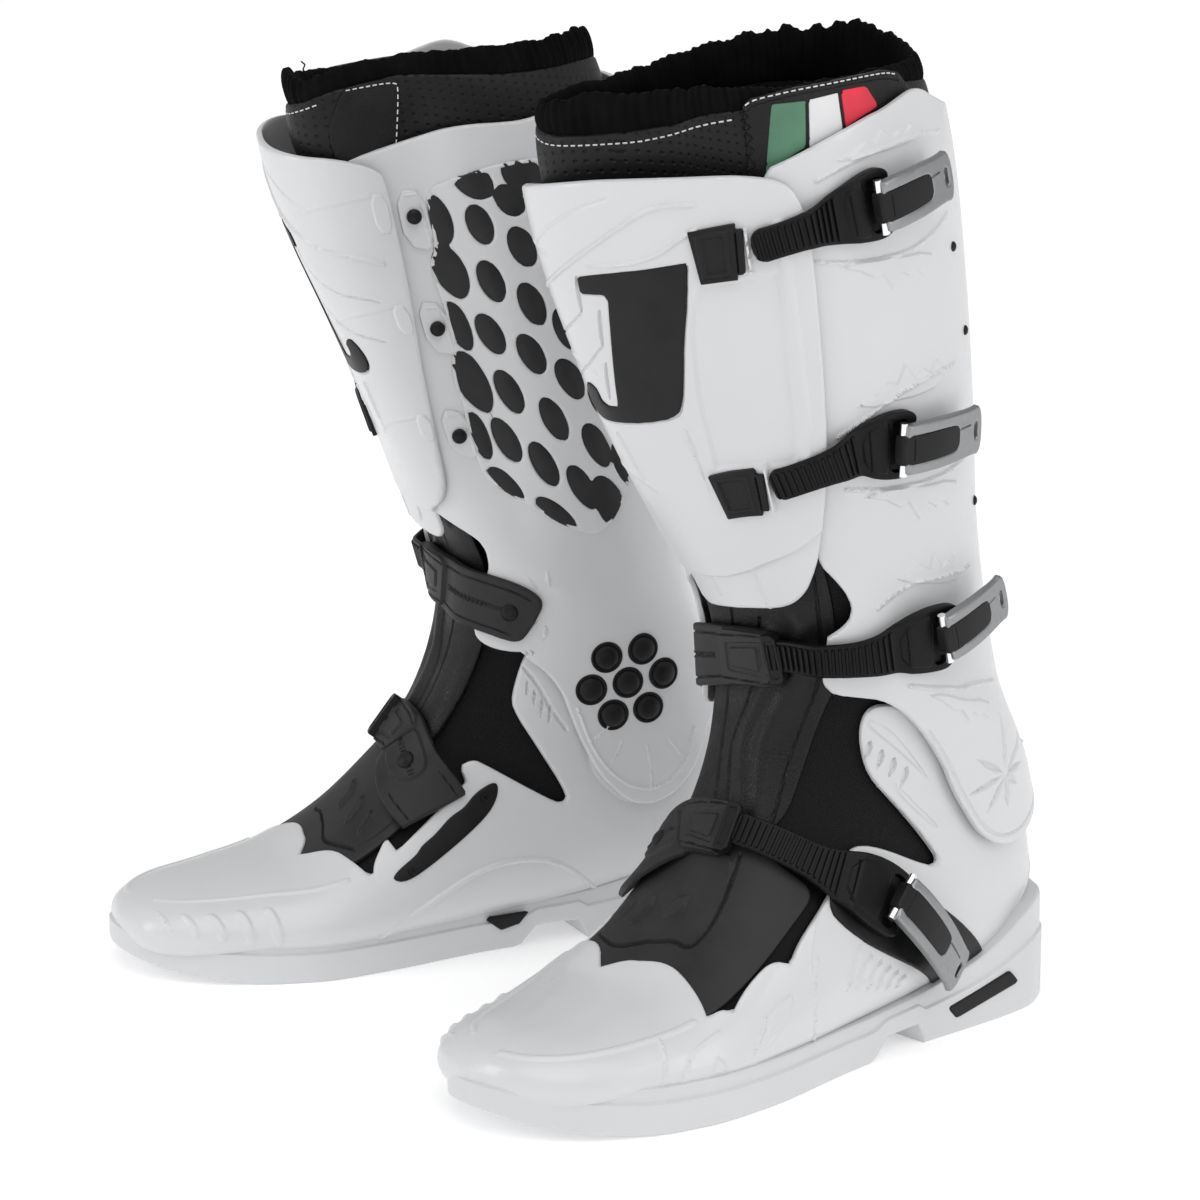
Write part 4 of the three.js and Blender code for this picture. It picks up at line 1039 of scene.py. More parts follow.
def sole_stations():
    """Stations from the toe to the heel: y, inner x, outer x, top and underside heights."""
    share = np.linspace(0, 1, len(SOLE))
    fine = np.linspace(0, 1, 110)
    y, inner, outer, top = (np.interp(fine, share, SOLE[:, k]) for k in range(4))
    kernel = np.ones(5) / 5
    smooth = lambda v: np.convolve(np.pad(v, 2, mode="reflect", reflect_type="odd"), kernel, "valid")
    y, inner, outer, top = (smooth(v) for v in (y, inner, outer, top))
    start, reach, rise = TOE_SPRING
    spring = rise * (np.maximum(start - y, 0) / reach) ** 2
    arch_from, arch_to, arch_height = ARCH
    arch = arch_height * np.clip((y - arch_from) / 9, 0, 1) * (y < arch_to)
    return y, inner, outer, top, np.maximum(spring, arch)


def outsole():
    """The sole: a rounded bottom edge, a side wall with a stepped line and a ledge round the shell."""
    y, inner, outer, top, low = sole_stations()
    half, middle = (outer - inner) / 2, (outer + inner) / 2
    ends = np.clip(np.minimum(y - y[0], y[-1] - y) / 12, 0, 1)
    # each level of the wall: how far it is set in, its share of the height, and a height added to that
    levels = [(5.0, 0, 0), (1.6, 0, 0), (0.5, 0, 0.9), (0, 0, 2.4), (0, 0.66, -0.6), (0.1, 0.66, 0.0),
              (1.3, 0.66, 0.8), (1.5, 1, -1.6), (1.9, 1, -0.6), (3.0, 1, 0), (9.0, 1, 0.2)]
    rings = []
    for inset, share, more in levels:
        z = low + share * (top - low) + more
        width = np.maximum(half - inset, 0.6)
        shift = inset * (1 - ends)
        along = np.where(y < 0, y + shift, y - shift)
        right = np.stack([middle + width, along, z], 1)
        left = np.stack([middle - width, along, z], 1)
        rings.append(np.vstack([right, left[::-1]]))
    count, n = len(rings), len(rings[0])
    points = np.vstack(rings)
    faces = []
    for k in range(count - 1):
        for i in range(n):
            j = (i + 1) % n
            a, b, c, d = k * n + i, k * n + j, (k + 1) * n + j, (k + 1) * n + i
            faces += [(a, b, c), (a, c, d)]
    for ring, flip in ((0, True), (count - 1, False)):
        for i in range(n // 2 - 1):
            a, b, c, d = (ring * n + v for v in (i, i + 1, n - 2 - i, n - 1 - i))
            faces += [(a, c, b), (a, d, c)] if flip else [(a, b, c), (a, c, d)]
    return Solid(points, np.array(faces), points[:, :2] / 10)


class Plane:
    """A flat chart in a 4 by 4 frame, bent by a function of its first coordinate."""

    reach = np.array([1.0, 1.0])
    spacing = np.array([1.0, 1.0])

    def __init__(self, matrix, bend=None):
        self.matrix = np.array(matrix)
        self.bend = bend or (lambda u: 0 * u)

    def metric(self, points):
        return points

    def place(self, points, distance):
        u, v = points.T
        local = np.stack([u, v, np.asarray(distance, float) + self.bend(u)], 1)
        return local @ self.matrix[:3, :3].T + self.matrix[:3, 3]


def side_plane(x):
    """A plane on the outer side, or with a negative x on the inner side, with y and z as its coordinates."""
    m = np.eye(4)
    m[:3, 0], m[:3, 1], m[:3, 2] = (0, 1, 0), (0, 0, 1), (math.copysign(1, x), 0, 0)
    m[0, 3] = x
    return Plane(m)


def side_plate(outline, x, thickness):
    """A flat plate with a sharp (y, z) outline, standing outwards from an x."""
    corners = np.array([p[:2] for p in outline])
    slab = Slab(side_plane(x), corners.min(0) - 3, corners.max(0) + 3, 1.6)
    slab.keep(outline, 0)
    return slab.solid(0, thickness, lip=0.8)


HEEL_INSERT = [
    (41.6, 11.6), (41.4, 13.2), (79.2, 20.8), (80.8, 20.2), (85.2, 15.4), (84.6, 14.4), (47, 7.0),
    (45.6, 7.4),
]
heel_insert = side_plate(HEEL_INSERT, 47.5, 3.1)
both_boots("outsole", outsole(), SOLE_WHITE, "foot", ["outsole"], sharp=28)
both_boots("heel_insert", heel_insert, PLASTIC, "foot", ["heel_insert"])


# ---- black mouldings of the foot -----------------------------------------------------------------

GUARD_OUTLINE = [
    (-43, 4.1), (-20, 3.9), (-4, 3.7), (8, 3.7), (24, 3.8), (44, 3.6), (58, 3.6), (63, 4.2), (64, 5.0),
    (65, 6.0), (64, 6.5), (50, 6.5), (20, 6.5), (-10, 6.45), (-38, 6.4), (-56, 6.3), (-56, 5.1), (-52, 4.4),
]


def instep_guard():
    """The ribbed rubber guard over the toe joint, with a framed panel and three loops."""
    slab = Slab(SURFACE, (-60, 3.5), (68, 6.6), 2.0)
    slab.keep(GUARD_OUTLINE)
    frame_line = [(24, 6.3), (26, 5.9), (26.5, 5.5), (24, 5.05), (19, 4.82), (10, 4.86), (2, 4.78),
                  (-6, 4.62), (-16, 4.5), (-30, 4.62), (-44, 4.75)]
    slab.line(frame_line, -1.2, 2.2)
    slab.panel([*frame_line[1:], (-50, 5.2), (-50, 5.9), (-10, 6.2), (20, 6.3)], 0.8, 1.2)
    for start, end in (((6, 5.52), (-2, 4.98)), ((-10, 5.42), (-19, 4.82)), ((-27, 5.35), (-37, 4.85))):
        slab.panel(spike(start, end, 4.4), 1.5, 1.6, times=1)
    return slab.solid(0.3, 2.4, lip=0.8)


BASE_PLATE = [(64, 7.25), (72, 7.5), (90, 7.62), (112, 7.72), (134, 7.72), (140, 7.62, SHARP),
              (147, 7.0, SHARP), (122, 6.86), (100, 6.56), (85, 6.36), (70, 6.4)]
CRESCENT = [(-70, 6.95), (-75, 6.82), (-80, 6.52), (-84, 6.02), (-87, 5.42), (-88, 5.1), (-86, 4.97),
            (-82, 4.93), (-79, 5.1), (-77.5, 5.4), (-75, 5.5), (-74.5, 5.75), (-71.5, 6.05), (-72, 6.3),
            (-69, 6.55)]


def surface_patch(outline, low, high, lip=0.8, times=2):
    """A patch of the surface inside an outline, between two distances."""
    corners = np.array([p[:2] for p in outline])
    slab = Slab(SURFACE, corners.min(0) - (3, 0.1), corners.max(0) + (3, 0.1), 1.8)
    slab.keep(outline, times)
    return slab.solid(low, high, lip)


def button(deg, row, distance, radius, height, foot):
    """A domed rivet or screw head standing on the surface."""
    return placed(dome(radius, height, foot), surface_frame(deg, row, distance))


def screw(deg, row, distance):
    """A small screw with a hollow in its head."""
    radius = 1.9
    profile = [(0, -2), (radius, -2), (radius, 0.5), (0.85 * radius, 0.9), (0.5 * radius, 0.9),
               (0.4 * radius, 0.1), (0, 0.1)]
    return placed(lathe(profile, 16), surface_frame(deg, row, distance))


crescent = joined(surface_patch(CRESCENT, 3.0, 4.4), screw(-73.5, 6.6, 4.4), screw(-84.5, 5.2, 4.4))
arch_insert = side_plate([(-26, 16.5), (-3, 17), (-8, 11.5), (-17, 9.5)], -42.5, 1.6)
both_boots("instep_guard", instep_guard(), RUBBER, "foot", ["instep_guard"])
both_boots("buckle_base", surface_patch(BASE_PLATE, 3.2, 4.8), PLASTIC, "foot",
           ["buckle_base"])
both_boots("arch_insert", arch_insert, PLASTIC, "foot")
both_boots("crescent_insert", crescent, PLASTIC, "foot")


# ---- bands over the ankle and the instep ---------------------------------------------------------

def block_detail(slab, start, end, half):
    """The stepped, clipped plate that a strap runs out of, between two lengths of a band."""
    plate = mirrored([(start, -half * 0.82), (start + 3, -half), (end - 2, -half), (end - 2, -half * 0.72),
                      (end, -half * 0.7)])
    slab.panel(plate, 1.4, 0.8, times=0)
    slab.panel(mirrored([(start + 4, -half * 0.5), (end - 5, -half * 0.66)]), -0.6, 0.7, times=0)
    slab.panel(mirrored([(start + 6, -half * 0.34), (end - 6.5, -half * 0.46)]), 0.9, 0.7, times=0)
    for part in (-half, half):
        slab.line([(start + 1, part * 0.74), (end - 3, part * 0.86)], -0.7, 1.2, times=0)
        slab.panel(rectangle(end - 4.2, end - 1.6, part * 0.55, part * 0.05), 0.5, 0.5, times=0)


def ankle_band():
    """The rubber band round the front of the ankle, down to the clip of the third strap."""
    strip = Strip([(-57, 10.02), (-46, 9.95), (-34, 9.82), (-20, 9.7), (-6, 9.67), (8, 9.77), (20, 9.9)], 0)
    slab = Slab(strip, (-1, -17), (strip.length + 1, 17), 1.3)
    end = strip.length
    slab.keep(mirrored([(0, -6.5), (1.5, -11), (7, -13.2), (20, -13.6), (end * 0.6, -12.8), (end - 22, -12.4),
                        (end - 6, -12.4), (end, -11.5)]))
    for side in (-1, 1):
        slab.line([(6, side * 9.4), (22, side * 10), (end * 0.55, side * 9.2), (end - 26, side * 8.6)],
                  -0.7, 1.3)
    slab.line([(14, 0), (end - 30, 0)], -0.9, 2.4, times=0)
    for k in range(12):
        slab.line([(end - 47 + 1.6 * k, -1.1), (end - 47 + 1.6 * k, 1.1)], 0.6, 0.7, times=0)
    block_detail(slab, end - 26, end, 12)
    step = lambda p: ramp(0.38 * end, 0.62 * end, p[:, 0])
    return slab.solid(lambda p: 9.4 - 5.4 * step(p), lambda p: 12 - 4.8 * step(p), lip=1.2), strip


def instep_band():
    """The rubber band over the instep, from its riveted tab to the clip of the lowest strap."""
    centre = [(-66, 5.9), (-58, 5.95), (-46, 6.0), (-30, 6.1), (-16, 6.32), (-4, 6.47), (8, 6.52), (16, 6.55)]
    strip = Strip(centre, 0)
    end = strip.length
    slab = Slab(strip, (-1, -22), (end + 1, 22), 1.3)
    slab.keep([(3, 17.5, SHARP), (0, -16, SHARP), (14, -18.5), (26, -16.5), (38, -14.5), (end * 0.66, -13),
               (end - 18, -12.4), (end - 4, -12.4), (end, -11.5), (end, 11.5), (end - 4, 12.4),
               (end - 18, 12.4), (end * 0.66, 12.6), (44, 12.6), (36, 13.4), (20, 15.5)])
    panel = mirrored([(end - 24, 8.6), (end * 0.6, 9), (36, 10), (25, 10.4), (18.5, 7)], [(17, 0)])
    slab.panel(panel, 1.2, 1.2)
    slab.line([(38, 0), (end - 28, 0)], -1.0, 2.6, times=0)
    slab.line([(4, 13), (16, 11.5)], -0.6, 1.2)
    slab.line([(3, -12), (16, -13.5)], -0.6, 1.2)
    for k in range(10):
        slab.line([(end - 43 + 1.6 * k, -1.2), (end - 43 + 1.6 * k, 1.2)], 0.7, 0.7, times=0)
    block_detail(slab, end - 24, end, 12)
    low = lambda p: 4.2 - 0.6 * ramp(0.5 * end, 0.8 * end, p[:, 0])
    return slab.solid(low, lambda p: low(p) + 2.6, lip=1.2), strip


def strip_dome(strip, u, v, distance, radius, height):
    """A rivet standing on a strip."""
    m = np.eye(4)
    run, up = (unit(strip.at_length(values, np.array([u])))[0] for values in (strip.run, strip.up))
    m[:3, 0], m[:3, 1], m[:3, 2] = run, np.cross(up, run), up
    m[:3, 3] = strip.place(np.array([[u, v]]), np.array([distance]))[0]
    return placed(dome(radius, height, 2.0), m)


band, strip = ankle_band()
band_rivet = strip_dome(strip, 11, 0, 11.9, 4.0, 1.9)
both_boots("ankle_band", band, RUBBER, "shaft", ["ankle_band"])
both_boots("ankle_band_rivet", band_rivet, PLASTIC, "shaft")
band, strip = instep_band()
both_boots("instep_band", band, RUBBER, "foot", ["instep_band"])
both_boots("instep_band_rivet", strip_dome(strip, 26.5, 0, 7.9, 4.2, 1.9), PLASTIC, "foot")


# ---- the buckles ---------------------------------------------------------------------------------

# Each: the strap's centre line with its half widths; its height; how far its root is sunk into the band's
# clip; the degrees where its head comes down, and to what height; the lever's two ends; and, on the shin
# plate, the centre line of the clip that the strap runs out of, with its half width.
BUCKLES = [
    {
        "strap": [(42.4, 14.78, 7), (52, 14.95, 6.8), (62, 15.13, 7.6), (70, 15.25, 10.5), (80, 15.42, 14),
                  (88, 15.55, 14.5)],
        "base": 8.9, "sunk": 0, "landing": (60, 70, 5.0), "lever": ((82, 15.46), (107, 15.86)),
        "clip": [(23.6, 14.57), (40, 14.73)], "half": 11.5,
    },
    {
        "strap": [(33, 12.28, 7), (42, 12.42, 6.8), (56, 12.68, 7.2), (66, 12.9, 9.5), (77, 13.1, 14),
                  (88, 13.28, 14.5)],
        "base": 8.9, "sunk": 0, "landing": (60, 70, 5.0), "lever": ((82, 13.18), (114, 13.68)),
        "clip": [(7.5, 12.0), (30, 12.2)], "half": 10.5,
    },
    {
        "strap": [(17, 9.93, 6.8), (22, 10.02, 7), (36, 10.3, 7.2), (54, 10.68, 7.8), (66, 10.98, 10),
                  (78, 11.28, 14), (90, 11.55, 14.5)],
        "base": 11.8, "sunk": 5.4, "landing": (60, 70, 9.5), "lever": ((85.5, 11.5), (115.5, 12.26)),
    },
    {
        "strap": [(13, 6.58, 7), (18, 6.6, 7), (34, 6.68, 7.2), (56, 6.78, 8), (66, 6.87, 11), (78, 7.02, 15),
                  (92, 7.12, 15)],
        "base": 8.6, "sunk": 2.0, "landing": (20, 40, 6.0), "lever": ((85, 7.12), (122, 7.1)),
    },
]
# The pitch of a ladder's ribs; a strap's thickness, and how much thicker its head is; and the height of a
# lever's frame above the landing, which is the head's own height and a rise.
RIB_PITCH = 2.7
STRAP_THICKNESS = 2.0
HEAD_SWELL = 1.8
HEAD = 4.4
LEVER_RISE = 2.3


def along_strip(strip, deg):
    """The length along a strip at a degree of its centre line."""
    return float(np.interp(deg, strip.deg, strip.samples))


def ladder_strap(buckle):
    """A ribbed strap that flares into the forked head that its lever is pinned in."""
    widths = np.array(buckle["strap"])
    strip = Strip(widths[:, :2].tolist(), buckle["base"])
    end = strip.length
    slab = Slab(strip, (-1, -18), (end + 8, 18), 1.15)
    lengths = [along_strip(strip, deg) for deg in widths[:, 0]]
    half = list(zip(lengths, widths[:, 2]))
    pins = along_strip(strip, buckle["lever"][0][0])
    tip = pins + 9.5
    top = half[-1][1]
    slab.keep(mirrored([*half[:-1], (tip - 5, top), (tip - 0.5, top - 2.2), (tip, top - 5.5),
                        (tip - 2.5, top - 8.2), (pins + 1, top - 8.4)]))
    neck = lengths[-3] + 2
    widening = lambda u: np.interp(u, lengths, widths[:, 2]) - 1.3

    def ribs(p):
        phase = np.abs((p[:, 0] - 1.2) % RIB_PITCH - RIB_PITCH / 2)
        inner = widening(p[:, 0]) - np.abs(p[:, 1])
        return np.minimum(np.minimum(phase - 0.45 * RIB_PITCH / 2, inner), neck - p[:, 0])

    slab.shape(ribs, 1.0, 0.3)
    raised = mirrored([(neck + 2, 1 - widening(neck)), (pins - 7, 3.2 - top), (pins - 3.5, 3.2 - top)])
    slab.panel(raised, 0.7, 0.8, times=1)
    slab.line(mirrored([(neck + 5, 2.5 - widening(neck + 5))]), -0.6, 0.9, times=0)
    for side in (-1, 1):
        fork = rectangle(pins - 2.4, pins + 4.6, side * (top - 3.2), side * (top - 7.6))
        slab.panel(fork, -2.0, 0.7, times=1)
    start, stop, landing = buckle["landing"]
    degrees = lambda p: np.interp(p[:, 0], strip.samples, strip.deg)
    sunk = buckle["sunk"]
    drop = landing - buckle["base"]
    low = lambda p: drop * ramp(start, stop, degrees(p)) - sunk * (1 - ramp(22, 42, degrees(p)))
    thickness = lambda p: STRAP_THICKNESS + HEAD_SWELL * ramp(neck, neck + 7, p[:, 0])
    return slab.solid(low, lambda p: low(p) + thickness(p), lip=0.9, lip_low=0.2)


def turned(start, end, distance):
    """The frame at a (deg, row) with x towards another one, z outwards, and the distance between the two."""
    deg, row = np.array([start, end], float).T
    places = at(row, deg, np.full(2, distance))
    x = unit(places[1] - places[0])
    z = outward(np.array([row.mean()]), np.array([deg.mean()]))[0]
    z = unit(z - x * (x @ z))
    m = np.eye(4)
    m[:3, 0], m[:3, 1], m[:3, 2], m[:3, 3] = x, np.cross(z, x), z, places[0]
    return m, float(np.linalg.norm(places[1] - places[0]))


def lever(buckle):
    """The aluminium lever's frame, its black insert and its chrome pins."""
    height = buckle["landing"][2] + HEAD + LEVER_RISE
    matrix, length = turned(*buckle["lever"], height)
    bend = lambda u: -0.0042 * u * (u - length * 0.92) - 0.0035 * length
    plane = Plane(matrix, bend)
    slab = Slab(plane, (-4, -14), (length + 3, 14), 1.1)
    arm, tail = 10.5, 8.2
    half = [(-1.5, 1 - arm), (1, -arm), (length * 0.5, -arm), (length - 5, -tail - 1.6),
            (length - 1.5, -tail - 2.4), (length + 1, 1 - tail)]
    slab.keep(mirrored(half, [(length + 1.6, 0)]), 1)
    cut = length * 0.6
    slab.keep([(-6, -arm + 4.6), (cut - 3, -arm + 4.8), (cut + 2, -arm + 6.2), (cut + 2.6, arm - 6.2),
               (cut - 3, arm - 4.8), (-6, arm - 4.6)], 1, grow=-1)
    slab.keep(rectangle(length - 4.4, length - 1.8, -3.6, 3.6), 2, grow=-1)
    slab.line([(cut + 3, arm - 7.4), (length - 7.5, arm - 7.2)], -0.8, 1.0, times=0)
    thick = lambda p: 4.4 - 1.6 * ramp(0, length, p[:, 0])
    frame_part = slab.solid(0.8, lambda p: 0.8 + thick(p), lip=1.0, lip_low=0.5)
    slab = Slab(plane, (-4, -14), (length, 14), 1.2)
    slab.keep([(-3.2, -arm + 4.4), (-1.5, -arm + 4.2), (cut, -arm + 4.2), (cut + 3.4, -arm + 5.6),
               (cut + 3.6, arm - 5.6), (cut, arm - 4.2), (-1.5, arm - 4.2), (-3.2, arm - 4.4)], 1)
    slab.line([(2.5, -arm + 6.0), (2.5, arm - 6.0)], -0.5, 0.8, times=0)
    insert = slab.solid(0.4, lambda p: 0.5 + thick(p) + 0.2 * np.cos(p[:, 1] / 6), lip=0.9)
    pin = lathe(mirrored([(0, -arm - 0.6), (1.7, -arm - 0.6), (1.7, 4.2 - arm), (1.2, 4.6 - arm)]), 16)
    seat = Matrix.Translation((-0.6, 0, 1.9 + bend(0.0))) @ Matrix.Rotation(math.pi / 2, 4, "X")
    return frame_part, insert, placed(placed(pin, seat), matrix)


def strap_clip(buckle):
    """The square clip on the shin plate that a strap runs out of."""
    strip = Strip(buckle["clip"], 0)
    end, half = strip.length, buckle["half"]
    slab = Slab(strip, (-2, -half - 2), (end + 2, half + 2), 1.0)
    slab.keep([(0.6, -half), (end - 3, -half), (end - 3, -half + 2), (end, -half + 2), (end, half - 2.6),
               (end - 2.4, half - 2.6), (end - 2.4, half), (0, half - 1)], 0)
    slab.panel(rectangle(1.6, end - 4.5, 1.8 - half, half - 1.8), 0.8, 0.7, times=0)
    slab.panel(rectangle(3.6, end - 6.5, 4 - half, half - 4), -0.8, 0.6, times=0)
    slab.line([(end - 2.6, -half + 3), (end - 2.6, half - 3.6)], -0.7, 0.8, times=0)
    base = lambda p: plate_lift(*(np.interp(p[:, 0], strip.samples, v) for v in (strip.deg,
                                                                                 strip.row))) + WALL
    return slab.solid(lambda p: base(p) - 0.8, lambda p: base(p) + 1.9, lip=0.5)


for number, buckle in enumerate(BUCKLES, 1):
    frame_part, insert, pins = lever(buckle)
    both_boots(f"ladder_strap_{number}", ladder_strap(buckle), STRAP, f"strap_{number}",
               [f"ladder_strap_{number}"])
    both_boots(f"lever_{number}", frame_part, ALUMINIUM, f"lever_{number}", [f"lever_{number}"])
    both_boots(f"lever_insert_{number}", insert, PLASTIC, f"lever_{number}")
    both_boots(f"pins_{number}", pins, CHROME, f"strap_{number}")
    if "clip" in buckle:
        both_boots(f"receiver_{number}", strap_clip(buckle), PLASTIC, "shin_plate",
                   [f"receiver_{number}"])


def clip_mouth(start, end, height):
    """The frame at the end of a band that a strap slides out of: a raised bridge over it."""
    half, length = 11, 7.0
    matrix, _ = turned(start, end, height)
    slab = Slab(Plane(matrix), (-1, -half - 3), (length + 1, half + 3), 0.9)
    slab.keep(mirrored([(0, -half), (length - 2, -half), (length, 2 - half)]), 0)
    slab.panel(rectangle(1.4, length - 1.4, 2.4 - half, half - 2.4), -0.7, 0.5, times=0)
    return slab.solid(-2.6, 2.2, lip=0.7)


for node, body, place in (("receiver_3", "shaft", ((16, 9.87), (26, 10.07), 7.2)),
                          ("receiver_4", "foot", ((12, 6.54), (22, 6.6), 8.6))):
    both_boots(node, clip_mouth(*place), PLASTIC, body, [node])


# ---- the grip pad, the hinge and the ankle -------------------------------------------------------

GRIP_OUTLINE = [
    (-99.5, 15.62), (-92, 15.55), (-83, 15.42), (-70.5, 15.2), (-61.5, 15.02), (-60.2, 14.8), (-60.2, 14.3),
    (-56.8, 14.08), (-57.2, 13.74), (-57.8, 13.66), (-57.5, 13.24), (-54.4, 12.98), (-53.6, 12.73),
    (-54.5, 12.58), (-54, 12.5), (-53.2, 12.1), (-54.5, 11.8), (-69, 11.77), (-87.5, 11.77), (-97.5, 12.0),
    (-111, 12.52), (-117, 12.78), (-113, 13.5), (-106, 14.6),
]
# The holes: the centre, and half of the width in degrees and of the height in rows.
GRIP_HOLES = [
    (-92.5, 15.38, 6.5, 0.2), (-77, 15.22, 6.5, 0.2), (-87, 15.09, 4.3, 0.17), (-76.8, 14.74, 4.4, 0.225),
    (-63, 14.66, 5.3, 0.3), (-88.5, 14.62, 4.1, 0.21), (-88.5, 14.04, 4.1, 0.21), (-77, 14.13, 4.5, 0.22),
    (-63.3, 14.08, 6.6, 0.3), (-98, 13.92, 4.4, 0.2), (-96.8, 13.43, 5.2, 0.185), (-85.5, 13.51, 4.6, 0.19),
    (-72.8, 13.54, 5.0, 0.2), (-61.2, 13.47, 5.0, 0.25), (-113, 12.83, 5.0, 0.2), (-102.5, 12.88, 5.6, 0.2),
    (-88.5, 12.93, 4.4, 0.2), (-74.5, 12.99, 5.1, 0.21), (-60.8, 12.9, 7.2, 0.3), (-103.5, 12.3, 8.0, 0.3),
    (-92.8, 12.35, 4.6, 0.205), (-81, 12.38, 5.1, 0.21), (-68.3, 12.43, 5.7, 0.21), (-57.2, 12.32, 4.0, 0.24),
    (-80.5, 11.86, 7.2, 0.15), (-62.3, 11.88, 7.2, 0.17), (-98, 14.4, 4.2, 0.2), (-97, 14.9, 4.2, 0.2),
    (-107, 13.4, 4.6, 0.2), (-104.5, 14.0, 3.6, 0.2),
]


def ring_of(centre, size):
    """An ellipse round a place, with half sizes in degrees and rows."""
    turns = np.linspace(0, 2 * math.pi, 14, endpoint=False)
    return [(centre[0] + size[0] * math.cos(t), centre[1] + size[1] * math.sin(t)) for t in turns]


def grip_lattice():
    """The white lattice of the grip pad on the inner side of the calf."""
    slab = Slab(SURFACE, (-119, 11.6), (-50, 15.75), 1.3)
    slab.keep(GRIP_OUTLINE)
    border = rounded(GRIP_OUTLINE)
    within = lambda p: outline_distance(SURFACE, p, border, 4.0) - 1.8
    for deg, row, *size in GRIP_HOLES:
        ring = rounded(ring_of((deg, row), size), 1)
        slab.keep_where(lambda p, ring=ring: -np.minimum(outline_distance(SURFACE, p, ring, 4.0), within(p)))
    return slab.solid(3.0, 5.2, lip=1.0)


def grip_pad():
    """The black rubber under the lattice, which bulges a little in each hole."""
    slab = Slab(SURFACE, (-119, 11.6), (-50, 15.75), 2.6)
    slab.keep(GRIP_OUTLINE)

    def high(p):
        rise = np.zeros(len(p))
        for deg, row, wide, tall in GRIP_HOLES:
            far = np.hypot((p[:, 0] - deg) / wide, (p[:, 1] - row) / tall)
            rise = np.maximum(rise, 1 - far ** 2)
        return 3.9 + 1.5 * np.sqrt(np.clip(rise, 0, 1))

    return slab.solid(2.6, high, lip=0.8)


def hinge_tabs():
    """Three white tabs on the shaft, which step up towards the shin plate."""
    tabs = []
    for (left, low), (right, high), _ in HINGES:
        slab = Slab(SURFACE, (left - 3, low - 0.15), (right + 3, high + 0.15), 1.5)
        slab.keep([(left, low + 0.04), (right, low), (right - 0.4, high - 0.06), (left + 0.6, high)], 1)
        slab.line([(left + 1.6, low + 0.08), (left + 2, high - 0.05), (right - 3, high - 0.1)], 0.5, 1.4,
                  times=1)
        tabs.append(slab.solid(3.0, 4.9, lip=0.9))
    return joined(*tabs)


def ankle_domes():
    """The seven black domes of the inner ankle pad, each in its own rim."""
    domes = []
    pitch, turn, radius = 16.2, 8, 6.4
    centre = np.array((42.0, 123.5))
    ring = [pitch * np.array((math.cos(a), math.sin(a))) for a in np.radians(turn + np.arange(6) * 60)]
    profile = [(0, -2), (radius + 1, -2), (radius + 1, 0.25), (radius + 0.6, 0.55), (radius - 0.1, 0.5),
               (radius - 0.5, 0.2), (radius - 0.7, 0.5)]
    cap = [((radius - 0.8) * math.cos(a), 0.5 + 2.2 * math.sin(a)) for a in np.radians(np.linspace(8, 84, 8))]
    for offset in [np.zeros(2), *ring]:
        (deg, row), = side_place([tuple(centre + offset)], -1)
        frame_at = surface_frame(deg, row, shaft_lift(row) + WALL)
        domes.append(placed(lathe(profile + cap + [(0, 2.72)], 28), frame_at))
    return joined(*domes)


REAR_SCREWS = [(116, 16), (119, 15.22), (125.5, 14.53), (130, 13.8), (130, 13.15)]


def pivot(side):
    """A pin of the ankle joint, hidden under the shaft shell's lobe."""
    (deg, row), = side_place([ANKLE], side)
    face = abs(at(np.array([row]), np.array([deg]), np.array([shaft_lift(row)]))[0][0])
    pin = lathe([(0, face - 12), (6, face - 12), (6, face - 0.4), (0, face - 0.4)], 28)
    turn = Matrix.Rotation(math.pi / 2 * side, 4, "Y")
    return placed(pin, Matrix.Translation((0, *ANKLE)) @ turn)


rivets = [button(*place, 6.4, 3.3, 1.7, 2.0) for _, _, place in HINGES]
screws = [button(*place, GAP + WALL, 2.1, 1.3, 1.5) for place in REAR_SCREWS]
both_boots("grip_lattice", grip_lattice(), SHELL, "shaft")
both_boots("grip_pad", grip_pad(), RUBBER, "shaft", ["grip_pad"])
both_boots("hinge_tabs", hinge_tabs(), SHELL, "shaft", ["hinge_strip"])
both_boots("hinge_rivets", joined(*rivets), PLASTIC, "shaft")
both_boots("ankle_domes", ankle_domes(), PLASTIC, "shaft", ["ankle_pad"])
both_boots("rear_screws", joined(*screws), PLASTIC, "shaft")
both_boots("pivot_lateral", pivot(1), PLASTIC, "foot", ["pivot_lateral"])
both_boots("pivot_medial", pivot(-1), PLASTIC, "foot", ["pivot_medial"])


# ---- the soft inside -----------------------------------------------------------------------------

BEND = ("foot", "shaft", (0, 30, 92), (0, 42, 140))


def bootie():
    """The sock-like lining, whose mesh shows between the shells."""
    slab = Slab(SURFACE, (-180, 0), (180, 15.6), 5.0)
    inward = lambda p: 12 * ramp(13.4, 14.6, p[:, 1])
    return slab.solid(lambda p: -4.6 - inward(p), lambda p: -0.6 - inward(p), wrap=True, lip=0)


